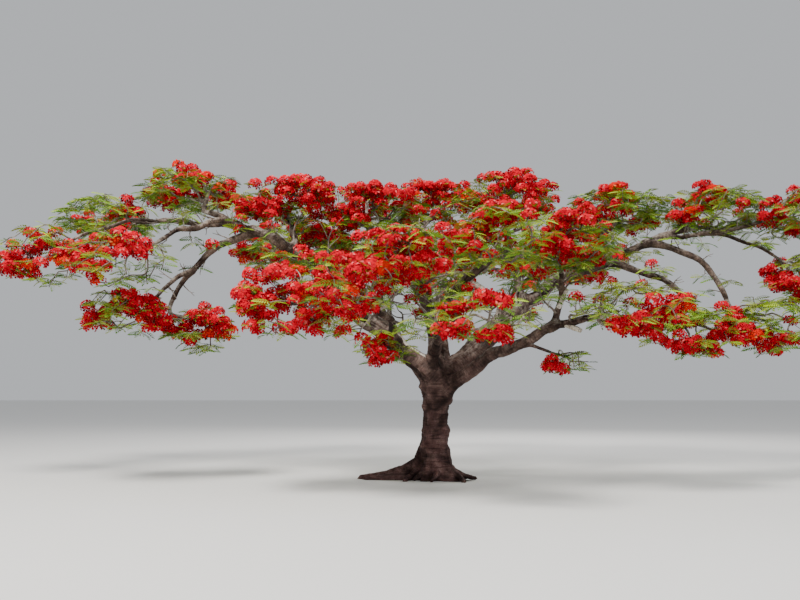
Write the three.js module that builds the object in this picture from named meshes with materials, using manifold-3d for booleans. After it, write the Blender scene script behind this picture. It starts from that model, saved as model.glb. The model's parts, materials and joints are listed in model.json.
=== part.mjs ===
// A flame tree with a wide umbrella crown on a short flared trunk, in millimetres, +Z up.
// The origin is the middle of the flat cut under the trunk, at ground level. +X is the right of
// the front view and +Y runs away from it. The trunk carries boughs, each bough carries smaller
// boughs along its length and one mass of twigs, leaf sprays and flower heads at its tip.
import * as THREE from "three";
import { mergeVertices } from "three/addons/utils/BufferGeometryUtils.js";
import Module from "manifold-3d";

const wasm = await Module();
wasm.setup();

// Clearances, all sizes in millimetres
const GAP = 0.3; // between solids that touch on the real tree
const MASS_GAP = 25; // between the spaces of two neighbouring masses
const LIMB_GAP = 12; // between a twig or leaf and a limb it passes

// Trunk: a leaning column with three spreading root spurs
const TRUNK_TOP = 1900;
const TRUNK_LEAN = [90, 20]; // how far the top stands to the right and back of the foot
const TRUNK_RADIUS_FOOT = 285;
const TRUNK_RADIUS_WAIST = 238;
const TRUNK_RADIUS_FORK = 262;
const WAIST_HEIGHT = 1150;
const TRUNK_SIDES = 26;
const TRUNK_LEVELS = [0, 60, 130, 220, 340, 540, 850, 1200, 1500, 1720, 1860];
const SPUR_HEIGHT = 190; // height over which a root spur sinks to 1/e of its reach
const SPURS = [
  { bearing: 180, reach: 1150, width: 12 },
  { bearing: 322, reach: 420, width: 20 },
  { bearing: 350, reach: 300, width: 15 },
  { bearing: 75, reach: 380, width: 22 },
  { bearing: 128, reach: 330, width: 18 },
  { bearing: 240, reach: 130, width: 24 },
];

// Boughs: [name, what it grows from, how far along that, tip, bow, radius at foot, radius at tip].
// Bow is how far the middle of the bough stands off the straight line from its foot to its tip.
const BOUGHS = [
  ["left_arch", "trunk", 0.9, [-4330, 620, 5080], [-40, -560, 400], 190, 60],
  ["right_shoulder", "trunk", 0.88, [5020, 820, 4780], [-80, 250, 460], 172, 56],
  ["right_lower", "trunk", 0.8, [2560, -1560, 2840], [-40, 20, 190], 146, 60],
  ["centre_left_crest", "trunk", 0.95, [-1180, 450, 4710], [330, -60, 60], 132, 62],
  ["centre_right", "trunk", 0.96, [940, -1880, 3820], [-360, 100, 170], 122, 60],
  ["back_left", "trunk", 0.9, [-2300, 2850, 4380], [-120, 60, 300], 140, 62],
  ["back_right", "trunk", 0.86, [2450, 2850, 4200], [140, 60, 280], 146, 62],
  ["back_middle", "trunk", 0.95, [100, 3650, 4450], [180, -60, 300], 128, 60],
  ["low_left", "trunk", 0.84, [-590, -980, 2150], [-20, 40, 60], 52, 30],
  ["left_droop", "left_arch", 0.77, [-4790, -250, 3290], [-130, 20, 190], 78, 44],
  ["left_middle", "left_arch", 0.86, [-4860, -980, 4260], [-60, -60, 120], 62, 40],
  ["left_upper", "left_arch", 0.84, [-5820, 640, 4900], [-40, -60, 30], 58, 36],
  ["far_left", "left_upper", 0.5, [-6560, -180, 4480], [-60, -120, 90], 40, 30],
  ["left_skirt", "left_droop", 0.7, [-4980, -740, 3240], [-20, -40, 60], 44, 32],
  ["left_crest", "left_arch", 0.6, [-2760, 220, 4880], [60, 40, 40], 66, 42],
  ["left_inner", "left_arch", 0.42, [-2060, 860, 4180], [40, 60, 60], 64, 42],
  ["left_front_skirt", "left_arch", 0.3, [-2080, -1900, 3120], [60, -90, 120], 82, 46],
  ["front_left", "left_arch", 0.16, [-1210, -2680, 2980], [80, -60, 120], 78, 44],
  ["centre_top", "centre_left_crest", 0.66, [40, 1950, 5280], [-60, 60, 80], 74, 46],
  ["front_middle", "centre_right", 0.42, [-330, -2380, 3460], [-60, -60, 60], 66, 42],
  ["front_low", "centre_right", 0.22, [280, -3120, 2700], [30, -120, 160], 84, 48],
  ["centre_right_crest", "right_shoulder", 0.36, [1460, 750, 5080], [-40, 60, -120], 86, 48],
  ["right_inner", "right_lower", 0.78, [2140, -1420, 3620], [90, 60, 20], 66, 40],
  ["right_droop", "right_lower", 0.56, [1960, -1260, 2270], [0, -20, 60], 38, 24],
  ["right_crest", "right_shoulder", 0.6, [3740, 1420, 4980], [-40, 40, 60], 68, 44],
  ["right_low", "right_shoulder", 0.63, [4760, -120, 3190], [190, 40, 260], 80, 46],
  ["right_skirt", "right_shoulder", 0.84, [5620, 420, 3360], [260, 20, 200], 72, 46],
  ["far_right_top", "right_shoulder", 0.9, [6290, 260, 4840], [40, 20, -60], 50, 36],
  ["far_right", "far_right_top", 0.4, [6560, 460, 4220], [60, 40, 90], 40, 30],
];

// Masses: [bough that carries it, middle of its space, half sizes of its space, share of ends in flower]
const MASSES = [
  ["far_left", [-7240, -250, 4090], [960, 1150, 700], 0.6],
  ["left_upper", [-6560, 1300, 5060], [1080, 1450, 560], 0.3],
  ["left_middle", [-5420, -1500, 3900], [960, 1150, 640], 0.45],
  ["left_arch", [-4960, 1500, 5700], [1180, 1650, 480], 0.45],
  ["left_skirt", [-5420, -900, 2960], [820, 850, 540], 0.6],
  ["left_droop", [-4240, -420, 2720], [700, 700, 520], 0.6],
  ["left_crest", [-2720, 320, 5230], [1260, 1300, 440], 0.8],
  ["left_inner", [-2250, 1300, 4480], [1100, 1000, 480], 0.4],
  ["left_front_skirt", [-2460, -2650, 2990], [920, 1150, 720], 0.8],
  ["front_left", [-1330, -3500, 3180], [760, 900, 560], 0.6],
  ["low_left", [-860, -1420, 2310], [560, 540, 280], 0.6],
  ["centre_left_crest", [-1240, 600, 5110], [1250, 1350, 500], 0.5],
  ["centre_top", [130, 2600, 5650], [1350, 1250, 500], 0.5],
  ["centre_right_crest", [1480, 900, 5450], [1250, 1350, 480], 0.55],
  ["centre_right", [960, -2700, 4060], [1000, 1150, 560], 0.5],
  ["front_middle", [-560, -3300, 3720], [920, 1050, 540], 0.5],
  ["front_low", [420, -4150, 2640], [1180, 1050, 420], 0.65],
  ["right_inner", [2180, -1950, 4100], [980, 1050, 580], 0.55],
  ["right_crest", [3850, 1850, 5340], [1350, 1600, 520], 0.4],
  ["right_shoulder", [5640, 1050, 5190], [1100, 1500, 550], 0.5],
  ["far_right_top", [7080, 300, 5010], [980, 1300, 540], 0.45],
  ["right_lower", [3080, -2500, 2940], [1020, 1150, 520], 0.55],
  ["right_low", [4560, -950, 2650], [960, 1000, 580], 0.55],
  ["right_skirt", [6120, -350, 2800], [960, 1150, 640], 0.5],
  ["far_right", [7300, 350, 3780], [1000, 1200, 620], 0.45],
  ["right_droop", [2240, -1460, 2090], [460, 460, 280], 0.5],
  ["back_left", [-3050, 3900, 4900], [1600, 1750, 720], 0.45],
  ["back_middle", [50, 4850, 4900], [1700, 1500, 640], 0.45],
  ["back_right", [3150, 3900, 4720], [1650, 1750, 720], 0.45],
];
const FLATNESS = 1.7; // a mass is about this many times as wide as it is deep

// Boughs
const CROOK = 0.022; // how far a bough wanders off its arc sideways, against its length
const CROOK_RISE = 0.7; // how far it wanders up and down, against sideways
const CROOK_TURNS = 3.2; // half waves along it
const CROOK_PHASES = [2.4, 1.7]; // radians from one bough to the next, sideways and up
const STOUT_RADIUS = 100; // a bough stouter than this at its foot has more facets
const STOUT_FACETS = 8; // round it and along it
const SLIM_FACETS = 6;
const LIMB_STEPS = 40; // points along a limb's middle line for measuring clearances
const LIMB_MARGIN = 25; // what a faceted limb may stand out beyond its middle line's radius
const TRUNK_MARGIN = 60;

// Twigs, leaf sprays and flower heads
const END_SPACING = 150; // a mass has one twig end for each such length of its mean half width
const TRIES = 3; // places tried in a space for each end wanted
const WAY_SHARE = 0.45; // weight of the way already grown when an end picks where to join
const CLEARANCE_STEPS = 6; // places along a twig where its clearance is measured
const STEM_SHARE = 1; // radius of a mass's stem against its bough's tip
const STEM_LENGTH = 170;
const TWIG_RADIUS = 8; // of the finest
const TWIG_SHARE = 0.5; // radius of a twig against that of the one it grows from
const TWIG_SINK = 20; // how far below its parent's end a twig starts
const TWIG_STEP = 25;
const TWIG_LOWEST = 120;
const END_REACH = 0.79; // how far out in its space a twig may end
const HOLLOW_SHARE = 0.18; // the middle part of a space in which no twig ends
const SPRAY_LENGTH = 760;
const SPRAY_WIDTH = 0.52; // of its length
const SPRAY_THICK = 0.03;
const SPRAY_REACH = 0.16; // of its length, kept clear to both sides of its middle line
const SPRAY_LIMIT = 0.95; // of its mass's half width, on a small mass
const END_TURNS = [0, 30, -30, 60, -60]; // degrees off the end's bearing, in the order tried
const SIDE_TURNS = [75, -75, 110, -110, 145, -145];
const END_SHARE = 0.985; // how far along its twig a spray is rooted
const SIDE_SHARE = 0.62;
const SPRAY_WIDEST = 0.42; // how far along it a spray is widest
const SPRAY_RISES = [0.12, -0.3]; // rise of a spray's tip against its length, by turns
const SPRAY_ROLLS = [26, -30, 8]; // degrees a spray is rolled about its length, by turns
const SPRAY_SHARES = [1, 0.78, 0.58]; // of the full length, in the order tried
const HEAD_RADIUS = 235;
const HEAD_SHARE = 0.42; // of its mass's half width, on a small mass
const HEAD_SIZES = [1, 0.72]; // of the full radius, in the order tried
const HEAD_FLAT = 0.72;
const HEAD_LEAN = 0.6; // radians a head leans for each radian it is turned
const SLIVER = 2; // detail smaller than this is left out where twigs join
const SPREAD_STEPS = [0.8191725134, 0.6710436067, 0.5497004779]; // an even spread in a cube
const SPREAD_SHIFT = 0.137; // from one mass to the next
const BLOOM_STEP = 0.618034; // deals flower heads out evenly among a mass's ends
const BLOOM_SHIFT = 0.31; // from one mass to the next
const WELD = 1e-3; // corners this near are one

const BARK = new THREE.MeshStandardMaterial({ color: 0x6b5a50, roughness: 0.9, metalness: 0 });
const LEAF = new THREE.MeshStandardMaterial({ color: 0x5f8a2a, roughness: 0.6, metalness: 0 });

const rad = THREE.MathUtils.degToRad;
const vec = (a) => new THREE.Vector3(...a);
const fract = (x) => x - Math.floor(x);

const pointOut = (p, bearing, reach) =>
  new THREE.Vector3(p.x + reach * Math.cos(bearing), p.y + reach * Math.sin(bearing), p.z);

// A closed solid from points and the triangles between them.
function solidOf(points, triangles) {
  const geometry = new THREE.BufferGeometry();
  geometry.setAttribute("position", new THREE.Float32BufferAttribute(points.flatMap((p) => p.toArray()), 3));
  geometry.setIndex(triangles.flat());
  return solidFrom(geometry);
}

function solidFrom(geometry) {
  const bare = geometry.clone();
  bare.deleteAttribute("normal");
  bare.deleteAttribute("uv");
  const merged = mergeVertices(bare, WELD);
  return new wasm.Manifold(
    new wasm.Mesh({
      numProp: 3,
      vertProperties: merged.attributes.position.array,
      triVerts: new Uint32Array(merged.index.array),
    }),
  );
}

// The largest body of a solid, without loose scraps and sealed hollows.
function largestBody(solid) {
  return solid.decompose().reduce((best, one) => (one.volume() > best.volume() ? one : best));
}

function meshOf(name, solid, material) {
  const { numProp, numVert, vertProperties, triVerts } = solid.getMesh();
  const position = new Float32Array(numVert * 3);
  for (let i = 0; i < numVert; i++)
    position.set(vertProperties.subarray(i * numProp, i * numProp + 3), i * 3);
  const geometry = new THREE.BufferGeometry();
  geometry.setAttribute("position", new THREE.BufferAttribute(position, 3));
  geometry.setIndex(new THREE.BufferAttribute(triVerts, 1));
  const mesh = new THREE.Mesh(geometry, material);
  mesh.name = name;
  return mesh;
}

// Rings of points, each joined to the next, with a flat cap at both ends.
function skin(rings, footPoint, topPoint) {
  const sides = rings[0].length;
  const points = rings.flat();
  const foot = points.push(footPoint) - 1;
  const top = points.push(topPoint) - 1;
  const triangles = [];
  for (let i = 0; i < sides; i++) {
    const j = (i + 1) % sides;
    triangles.push([foot, j, i]);
    for (let k = 0; k + 1 < rings.length; k++) {
      const a = k * sides + i;
      const b = k * sides + j;
      triangles.push([a, b, b + sides], [a, b + sides, a + sides]);
    }
    const last = (rings.length - 1) * sides;
    triangles.push([top, last + i, last + j]);
  }
  return solidOf(points, triangles);
}

// The trunk's middle line and radius at a height, and its outline there, spurs included.
const trunkCentre = (z) => {
  const t = z / TRUNK_TOP;
  return new THREE.Vector3(TRUNK_LEAN[0] * t * t, TRUNK_LEAN[1] * t * t, z);
};

function trunkRadius(z, bearing) {
  const below = z < WAIST_HEIGHT;
  const t = below ? z / WAIST_HEIGHT : (z - WAIST_HEIGHT) / (TRUNK_TOP - WAIST_HEIGHT);
  const smooth = t * t * (3 - 2 * t);
  const [from, to] = below
    ? [TRUNK_RADIUS_FOOT, TRUNK_RADIUS_WAIST]
    : [TRUNK_RADIUS_WAIST, TRUNK_RADIUS_FORK];
  const column = from + (to - from) * smooth;
  const spurs = SPURS.map((spur) => {
    const off = (((bearing - spur.bearing + 540) % 360) - 180) / spur.width;
    return spur.reach * Math.exp(-off * off) * Math.exp(-z / SPUR_HEIGHT);
  });
  return column + spurs.reduce((a, b) => a + b, 0);
}

function trunkSolid(grown) {
  const rings = TRUNK_LEVELS.map((z) =>
    Array.from({ length: TRUNK_SIDES }, (_, i) => {
      const bearing = (360 * i) / TRUNK_SIDES;
      const radius = trunkRadius(z, bearing) + grown;
      const out = new THREE.Vector3(Math.cos(rad(bearing)), Math.sin(rad(bearing)), 0);
      return trunkCentre(z).addScaledVector(out, radius);
    }),
  );
  const offCentre = new THREE.Vector3(37, 23, 0); // keeps the origin inside one facet of the foot
  return skin(rings, offCentre, trunkCentre(TRUNK_TOP + grown));
}

// A bough's middle line: an arc through its bow, with a crook that fades out at both ends.
class BoughLine extends THREE.Curve {
  constructor(foot, tip, bow, seed) {
    super();
    const middle = foot.clone().add(tip).multiplyScalar(0.5).addScaledVector(bow, 2);
    this.arc = new THREE.QuadraticBezierCurve3(foot, middle, tip);
    const run = tip.clone().sub(foot);
    this.side = new THREE.Vector3(-run.y, run.x, 0).normalize().multiplyScalar(CROOK * run.length());
    this.rise = new THREE.Vector3(0, 0, CROOK_RISE * CROOK * run.length());
    this.phases = CROOK_PHASES.map((phase) => phase * seed);
  }
  getPoint(t) {
    const fade = Math.sin(Math.PI * t);
    const turn = CROOK_TURNS * Math.PI * t;
    return this.arc
      .getPoint(t)
      .addScaledVector(this.side, fade * Math.sin(turn + this.phases[0]))
      .addScaledVector(this.rise, fade * Math.cos(turn + this.phases[1]));
  }
}

function boughSolid(bough, grown) {
  const sides = bough.footRadius > STOUT_RADIUS ? STOUT_FACETS : SLIM_FACETS;
  const steps = sides;
  const rings = [];
  for (let k = 0; k <= steps; k++) {
    const t = k / steps;
    const along = bough.line.getTangent(t);
    const level = new THREE.Vector3(0, 0, 1).cross(along).normalize();
    const up = along.clone().cross(level);
    const radius = THREE.MathUtils.lerp(bough.footRadius, bough.tipRadius, t) + grown;
    rings.push(
      Array.from({ length: sides }, (_, i) => {
        const turn = (2 * Math.PI * i) / sides;
        return bough.line
          .getPoint(t)
          .addScaledVector(level, radius * Math.cos(turn))
          .addScaledVector(up, radius * Math.sin(turn));
      }),
    );
  }
  return skin(rings, bough.line.getPoint(0), bough.line.getPoint(1));
}

function layOutBoughs() {
  const laid = new Map();
  for (const [name, parent, at, tip, bow, footRadius, tipRadius] of BOUGHS) {
    const foot =
      parent === "trunk" ? trunkCentre(at * TRUNK_TOP) : laid.get(parent).line.getPoint(at);
    const line = new BoughLine(foot, vec(tip), vec(bow), laid.size);
    laid.set(name, { name, footRadius, tipRadius, line });
  }
  return laid;
}

// Each bough is cut clear of the trunk and of the boughs laid before it.
function boughSolids(laid) {
  const standing = [trunkSolid(GAP)];
  const made = new Map();
  for (const bough of laid.values()) {
    const taken = wasm.Manifold.union(standing);
    made.set(bough.name, largestBody(boughSolid(bough, 0).subtract(taken)));
    standing.push(boughSolid(bough, GAP));
  }
  return made;
}

// The even spread of ends in a mass's space: point k, in the space's own units, inside the unit ball.
function spreadPoint(seed, k) {
  const [a, b, c] = SPREAD_STEPS.map((step, i) =>
    fract(0.5 + SPREAD_SHIFT * seed * (i + 1) + step * (k + 1)),
  );
  const height = 1 - 2 * b;
  const out = Math.cbrt(HOLLOW_SHARE + (1 - HOLLOW_SHARE) * c);
  const level = Math.sqrt(1 - height * height);
  const turn = 2 * Math.PI * a;
  return new THREE.Vector3(level * Math.cos(turn), level * Math.sin(turn), height).multiplyScalar(out);
}

// A space is what of its ellipsoid lies nearer to its own middle than to any other mass's.
function spaceOf(mass, all) {
  const squash = new THREE.Vector3(1, 1, FLATNESS);
  const walls = all
    .filter((other) => other !== mass)
    .map((other) => {
      const from = mass.middle.clone().multiply(squash);
      const to = other.middle.clone().multiply(squash);
      const shift = mass.half.x * mass.half.y - other.half.x * other.half.y;
      const along = to.clone().sub(from).multiply(squash);
      const level = (to.lengthSq() - from.lengthSq() + shift) / 2;
      return { along, level, size: along.length() };
    });
  return (p, margin) => {
    const q = p.clone().sub(mass.middle).divide(mass.half);
    if (q.length() > 1) return false;
    return walls.every((wall) => wall.level - p.dot(wall.along) > margin * wall.size);
  };
}

// True where a straight piece of the given radius passes clear of every limb.
function clearOfLimbs(a, b, radius, limbs) {
  for (let i = 0; i <= CLEARANCE_STEPS; i++) {
    const p = a.clone().lerp(b, i / CLEARANCE_STEPS);
    if (limbs.some((node) => p.distanceTo(node.point) < node.radius + radius + LIMB_GAP)) return false;
  }
  return true;
}

function limbNodes(laid) {
  const boughs = [...laid.values()].flatMap((bough) =>
    Array.from({ length: LIMB_STEPS + 1 }, (_, i) => {
      const t = i / LIMB_STEPS;
      const radius = THREE.MathUtils.lerp(bough.footRadius, bough.tipRadius, t) + LIMB_MARGIN;
      return { point: bough.line.getPoint(t), radius };
    }),
  );
  const trunk = TRUNK_LEVELS.map((z) => ({
    point: trunkCentre(z),
    radius: TRUNK_RADIUS_FORK + TRUNK_MARGIN,
  }));
  return [...boughs, ...trunk];
}

// A three-sided twig from one point to another.
function twigSolid(from, to, radius) {
  const along = to.clone().sub(from).normalize();
  const level = new THREE.Vector3(0, 0, 1).cross(along).normalize();
  const up = along.clone().cross(level);
  const ring = (point) =>
    [90, 210, 330].map((turn) =>
      point
        .clone()
        .addScaledVector(level, radius * Math.cos(rad(turn)))
        .addScaledVector(up, radius * Math.sin(rad(turn))),
    );
  return solidOf([...ring(from), ...ring(to)], TWIG_FACES);
}

const TWIG_FACES = [
  [0, 2, 1],
  [3, 4, 5],
  [0, 1, 4],
  [0, 4, 3],
  [1, 2, 5],
  [1, 5, 4],
  [2, 0, 3],
  [2, 3, 5],
];

// The stem and twigs over a mass's nodes. Each twig is thinner than the one that it grows from, and
// its foot lies inside that one, the feet of several a step apart along it.
function twigsOver(nodes, stemRadius) {
  const radii = [];
  const grown = nodes.map(() => 0);
  return nodes.slice(1).map(({ point, from }, i) => {
    if (from === 0) {
      radii[1] = stemRadius;
      return twigSolid(nodes[0].point, point, stemRadius);
    }
    const radius = Math.max(TWIG_RADIUS, TWIG_SHARE * radii[from]);
    radii[i + 1] = radius;
    const below = Math.min(TWIG_SINK + TWIG_STEP * grown[from], TWIG_LOWEST);
    const down = nodes[nodes[from].from].point.clone().sub(nodes[from].point).normalize();
    const root = nodes[from].point.clone().addScaledVector(down, below);
    grown[from] += 1;
    return twigSolid(root, point, radius);
  });
}

// A leaf spray: a flat eight-faced blade whose root lies on the middle line of its twig. It rises
// or droops along its length and is rolled to one side about it.
function sprayPoints(root, bearing, rise, roll, length) {
  const along = new THREE.Vector3(Math.cos(bearing), Math.sin(bearing), rise).normalize();
  const side = new THREE.Vector3(-Math.sin(bearing), Math.cos(bearing), 0).applyAxisAngle(along, roll);
  const up = along.clone().cross(side);
  const middle = root.clone().addScaledVector(along, SPRAY_WIDEST * length);
  const tip = root.clone().addScaledVector(along, length);
  const half = 0.5 * SPRAY_WIDTH * length;
  const thick = 0.5 * SPRAY_THICK * length;
  return [
    root,
    middle.clone().addScaledVector(side, half),
    tip,
    middle.clone().addScaledVector(side, -half),
    middle.clone().addScaledVector(up, thick),
    middle.clone().addScaledVector(up, -thick),
  ];
}

const SPRAY_FACES = [
  [4, 0, 3],
  [4, 3, 2],
  [4, 2, 1],
  [4, 1, 0],
  [5, 3, 0],
  [5, 2, 3],
  [5, 1, 2],
  [5, 0, 1],
];

// A flower head: a flattened twenty-faced lump over its twig's end, each head turned its own way.
function headSolid(end, radius, turn) {
  const geometry = new THREE.IcosahedronGeometry(radius, 0);
  geometry.rotateZ(turn);
  geometry.rotateX(HEAD_LEAN * turn);
  geometry.scale(1, 1, HEAD_FLAT);
  geometry.translate(...end.toArray());
  return solidFrom(geometry);
}

// The twigs of one mass grow from its stem. The ends are taken from the nearest to the farthest,
// and each joins the earlier end, or the stem, that makes the shortest way back to the foot.
function growTwigs(mass, bough, inSpace, limbs) {
  const tip = bough.line.getPoint(1);
  const along = bough.line.getTangent(1);
  const foot = tip.clone().addScaledVector(along, GAP);
  const knee = foot.clone().addScaledVector(along, STEM_LENGTH);
  const nodes = [{ point: foot, way: 0 }, { point: knee, way: foot.distanceTo(knee), from: 0 }];
  const ends = [];
  const wanted = Math.round(Math.sqrt(mass.half.x * mass.half.y) / END_SPACING);
  for (let k = 0; ends.length < wanted && k < TRIES * wanted; k++) {
    const unit = spreadPoint(mass.seed, k);
    const point = mass.middle.clone().add(unit.clone().multiply(mass.half).multiplyScalar(END_REACH));
    if (inSpace(point, MASS_GAP + TWIG_RADIUS)) ends.push({ point, k });
  }
  ends.sort((a, b) => a.point.distanceTo(foot) - b.point.distanceTo(foot));
  for (const end of ends) {
    let best = -1;
    let shortest = Infinity;
    for (let i = 1; i < nodes.length; i++) {
      const step = nodes[i].point.distanceTo(end.point);
      const way = step + WAY_SHARE * nodes[i].way;
      if (way < shortest && clearOfLimbs(nodes[i].point, end.point, TWIG_RADIUS, limbs)) {
        best = i;
        shortest = way;
      }
    }
    if (best < 0) continue;
    nodes.push({
      point: end.point,
      from: best,
      way: nodes[best].way + nodes[best].point.distanceTo(end.point),
      k: end.k,
    });
  }
  return nodes;
}

// One mass: its stem and twigs, with a flower head or a spray at the end of each twig and more
// sprays along it. A spray is tried at several turns and sizes until it keeps to the mass's space,
// clear of the limbs and of all that the mass already holds apart from its own twig.
function massSolid(mass, bough, inSpace, limbs) {
  const nodes = growTwigs(mass, bough, inSpace, limbs);
  const placed = twigsOver(nodes, STEM_SHARE * bough.tipRadius);

  const add = (twig, solid, corners, from, to, radius) => {
    const fits =
      corners.every((p) => inSpace(p, MASS_GAP)) &&
      clearOfLimbs(from, to, radius, limbs) &&
      placed.every((other) => other === twig || solid.intersect(other).isEmpty());
    if (fits) placed.push(solid);
    return fits;
  };
  const addHead = (twig, end, turn) =>
    HEAD_SIZES.some((size) => {
      const radius = size * Math.min(HEAD_RADIUS, HEAD_SHARE * mass.half.x);
      const rim = [0, 90, 180, 270].map((bearing) => pointOut(end, rad(bearing), radius));
      return add(twig, headSolid(end, radius, turn), rim, end, end, radius);
    });
  const addSpray = (twig, root, bearing, turns, k) =>
    SPRAY_SHARES.some((share) =>
      turns.some((turn) => {
        const length = share * Math.min(SPRAY_LENGTH, SPRAY_LIMIT * mass.half.x);
        const roll = rad(SPRAY_ROLLS[k % 3]);
        const points = sprayPoints(root, bearing + rad(turn), SPRAY_RISES[k % 2], roll, length);
        const middle = root.clone().lerp(points[2], SPRAY_WIDEST);
        const solid = solidOf(points, SPRAY_FACES);
        return add(twig, solid, points, middle, points[2], SPRAY_REACH * length);
      }),
    );

  nodes.slice(2).forEach(({ point, from, k }, i) => {
    const twig = placed[i + 1];
    const outward = point.clone().sub(nodes[1].point);
    const bearing = Math.atan2(outward.y, outward.x);
    const along = (share) => nodes[from].point.clone().lerp(point, share);
    const inFlower = fract(BLOOM_STEP * k + BLOOM_SHIFT * mass.seed) < mass.bloom;
    const headed = inFlower && addHead(twig, point, k);
    if (!headed) addSpray(twig, along(END_SHARE), bearing, END_TURNS, k);
    const side = k % 2 ? SIDE_TURNS : SIDE_TURNS.map((turn) => -turn);
    addSpray(twig, along(SIDE_SHARE), bearing, side, k + 1);
  });
  return largestBody(wasm.Manifold.union(placed).simplify(SLIVER));
}

const tree = new THREE.Group();
tree.name = "flame_tree";
tree.add(meshOf("trunk", trunkSolid(0), BARK));

const laid = layOutBoughs();
for (const [name, solid] of boughSolids(laid)) tree.add(meshOf(`bough_${name}`, solid, BARK));

const limbs = limbNodes(laid);
const masses = MASSES.map(([name, middle, half, bloom], seed) => ({
  name,
  middle: vec(middle),
  half: vec(half),
  bloom,
  seed,
}));
for (const mass of masses) {
  const solid = massSolid(mass, laid.get(mass.name), spaceOf(mass, masses), limbs);
  tree.add(meshOf(`mass_${mass.name}`, solid, LEAF));
}

export default tree;
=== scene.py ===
import json
import math

import bpy
import numpy as np
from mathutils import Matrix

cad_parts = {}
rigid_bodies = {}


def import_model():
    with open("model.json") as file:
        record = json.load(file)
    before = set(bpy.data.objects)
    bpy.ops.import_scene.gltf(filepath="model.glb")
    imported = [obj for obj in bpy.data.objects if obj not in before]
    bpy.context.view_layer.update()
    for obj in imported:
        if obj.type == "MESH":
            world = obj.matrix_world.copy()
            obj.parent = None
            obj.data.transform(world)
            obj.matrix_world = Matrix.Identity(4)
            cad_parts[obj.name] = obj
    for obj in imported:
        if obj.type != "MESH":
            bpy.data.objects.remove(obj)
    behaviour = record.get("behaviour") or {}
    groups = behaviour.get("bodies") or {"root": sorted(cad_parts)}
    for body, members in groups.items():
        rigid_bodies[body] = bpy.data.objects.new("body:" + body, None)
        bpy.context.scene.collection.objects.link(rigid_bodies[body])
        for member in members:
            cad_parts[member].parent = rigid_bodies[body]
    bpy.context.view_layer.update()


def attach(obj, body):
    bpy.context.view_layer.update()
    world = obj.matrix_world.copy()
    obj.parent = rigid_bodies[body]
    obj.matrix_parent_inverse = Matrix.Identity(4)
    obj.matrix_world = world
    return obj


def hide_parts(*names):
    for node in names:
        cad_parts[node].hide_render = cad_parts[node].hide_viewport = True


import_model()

# A flame tree in full flower, in metres, +Z up, rooted at the origin. The trunk and the boughs are
# skins with the bark's relief over the same middle lines as the solids. Each mass of foliage is
# grown again on its bough by the same rule, carried on to many more and finer twigs.

# Trunk
TRUNK_TOP = 1.9
TRUNK_LEAN = np.array([0.09, 0.02])
RADIUS_FOOT, RADIUS_WAIST, RADIUS_FORK = 0.285, 0.238, 0.262
WAIST_HEIGHT = 1.15
SPUR_HEIGHT = 0.19
# bearing in degrees, reach, width in degrees
SPURS = [
    (180, 1.15, 12),
    (322, 0.42, 20),
    (350, 0.3, 15),
    (75, 0.38, 22),
    (128, 0.33, 18),
    (240, 0.13, 24),
]

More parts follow.
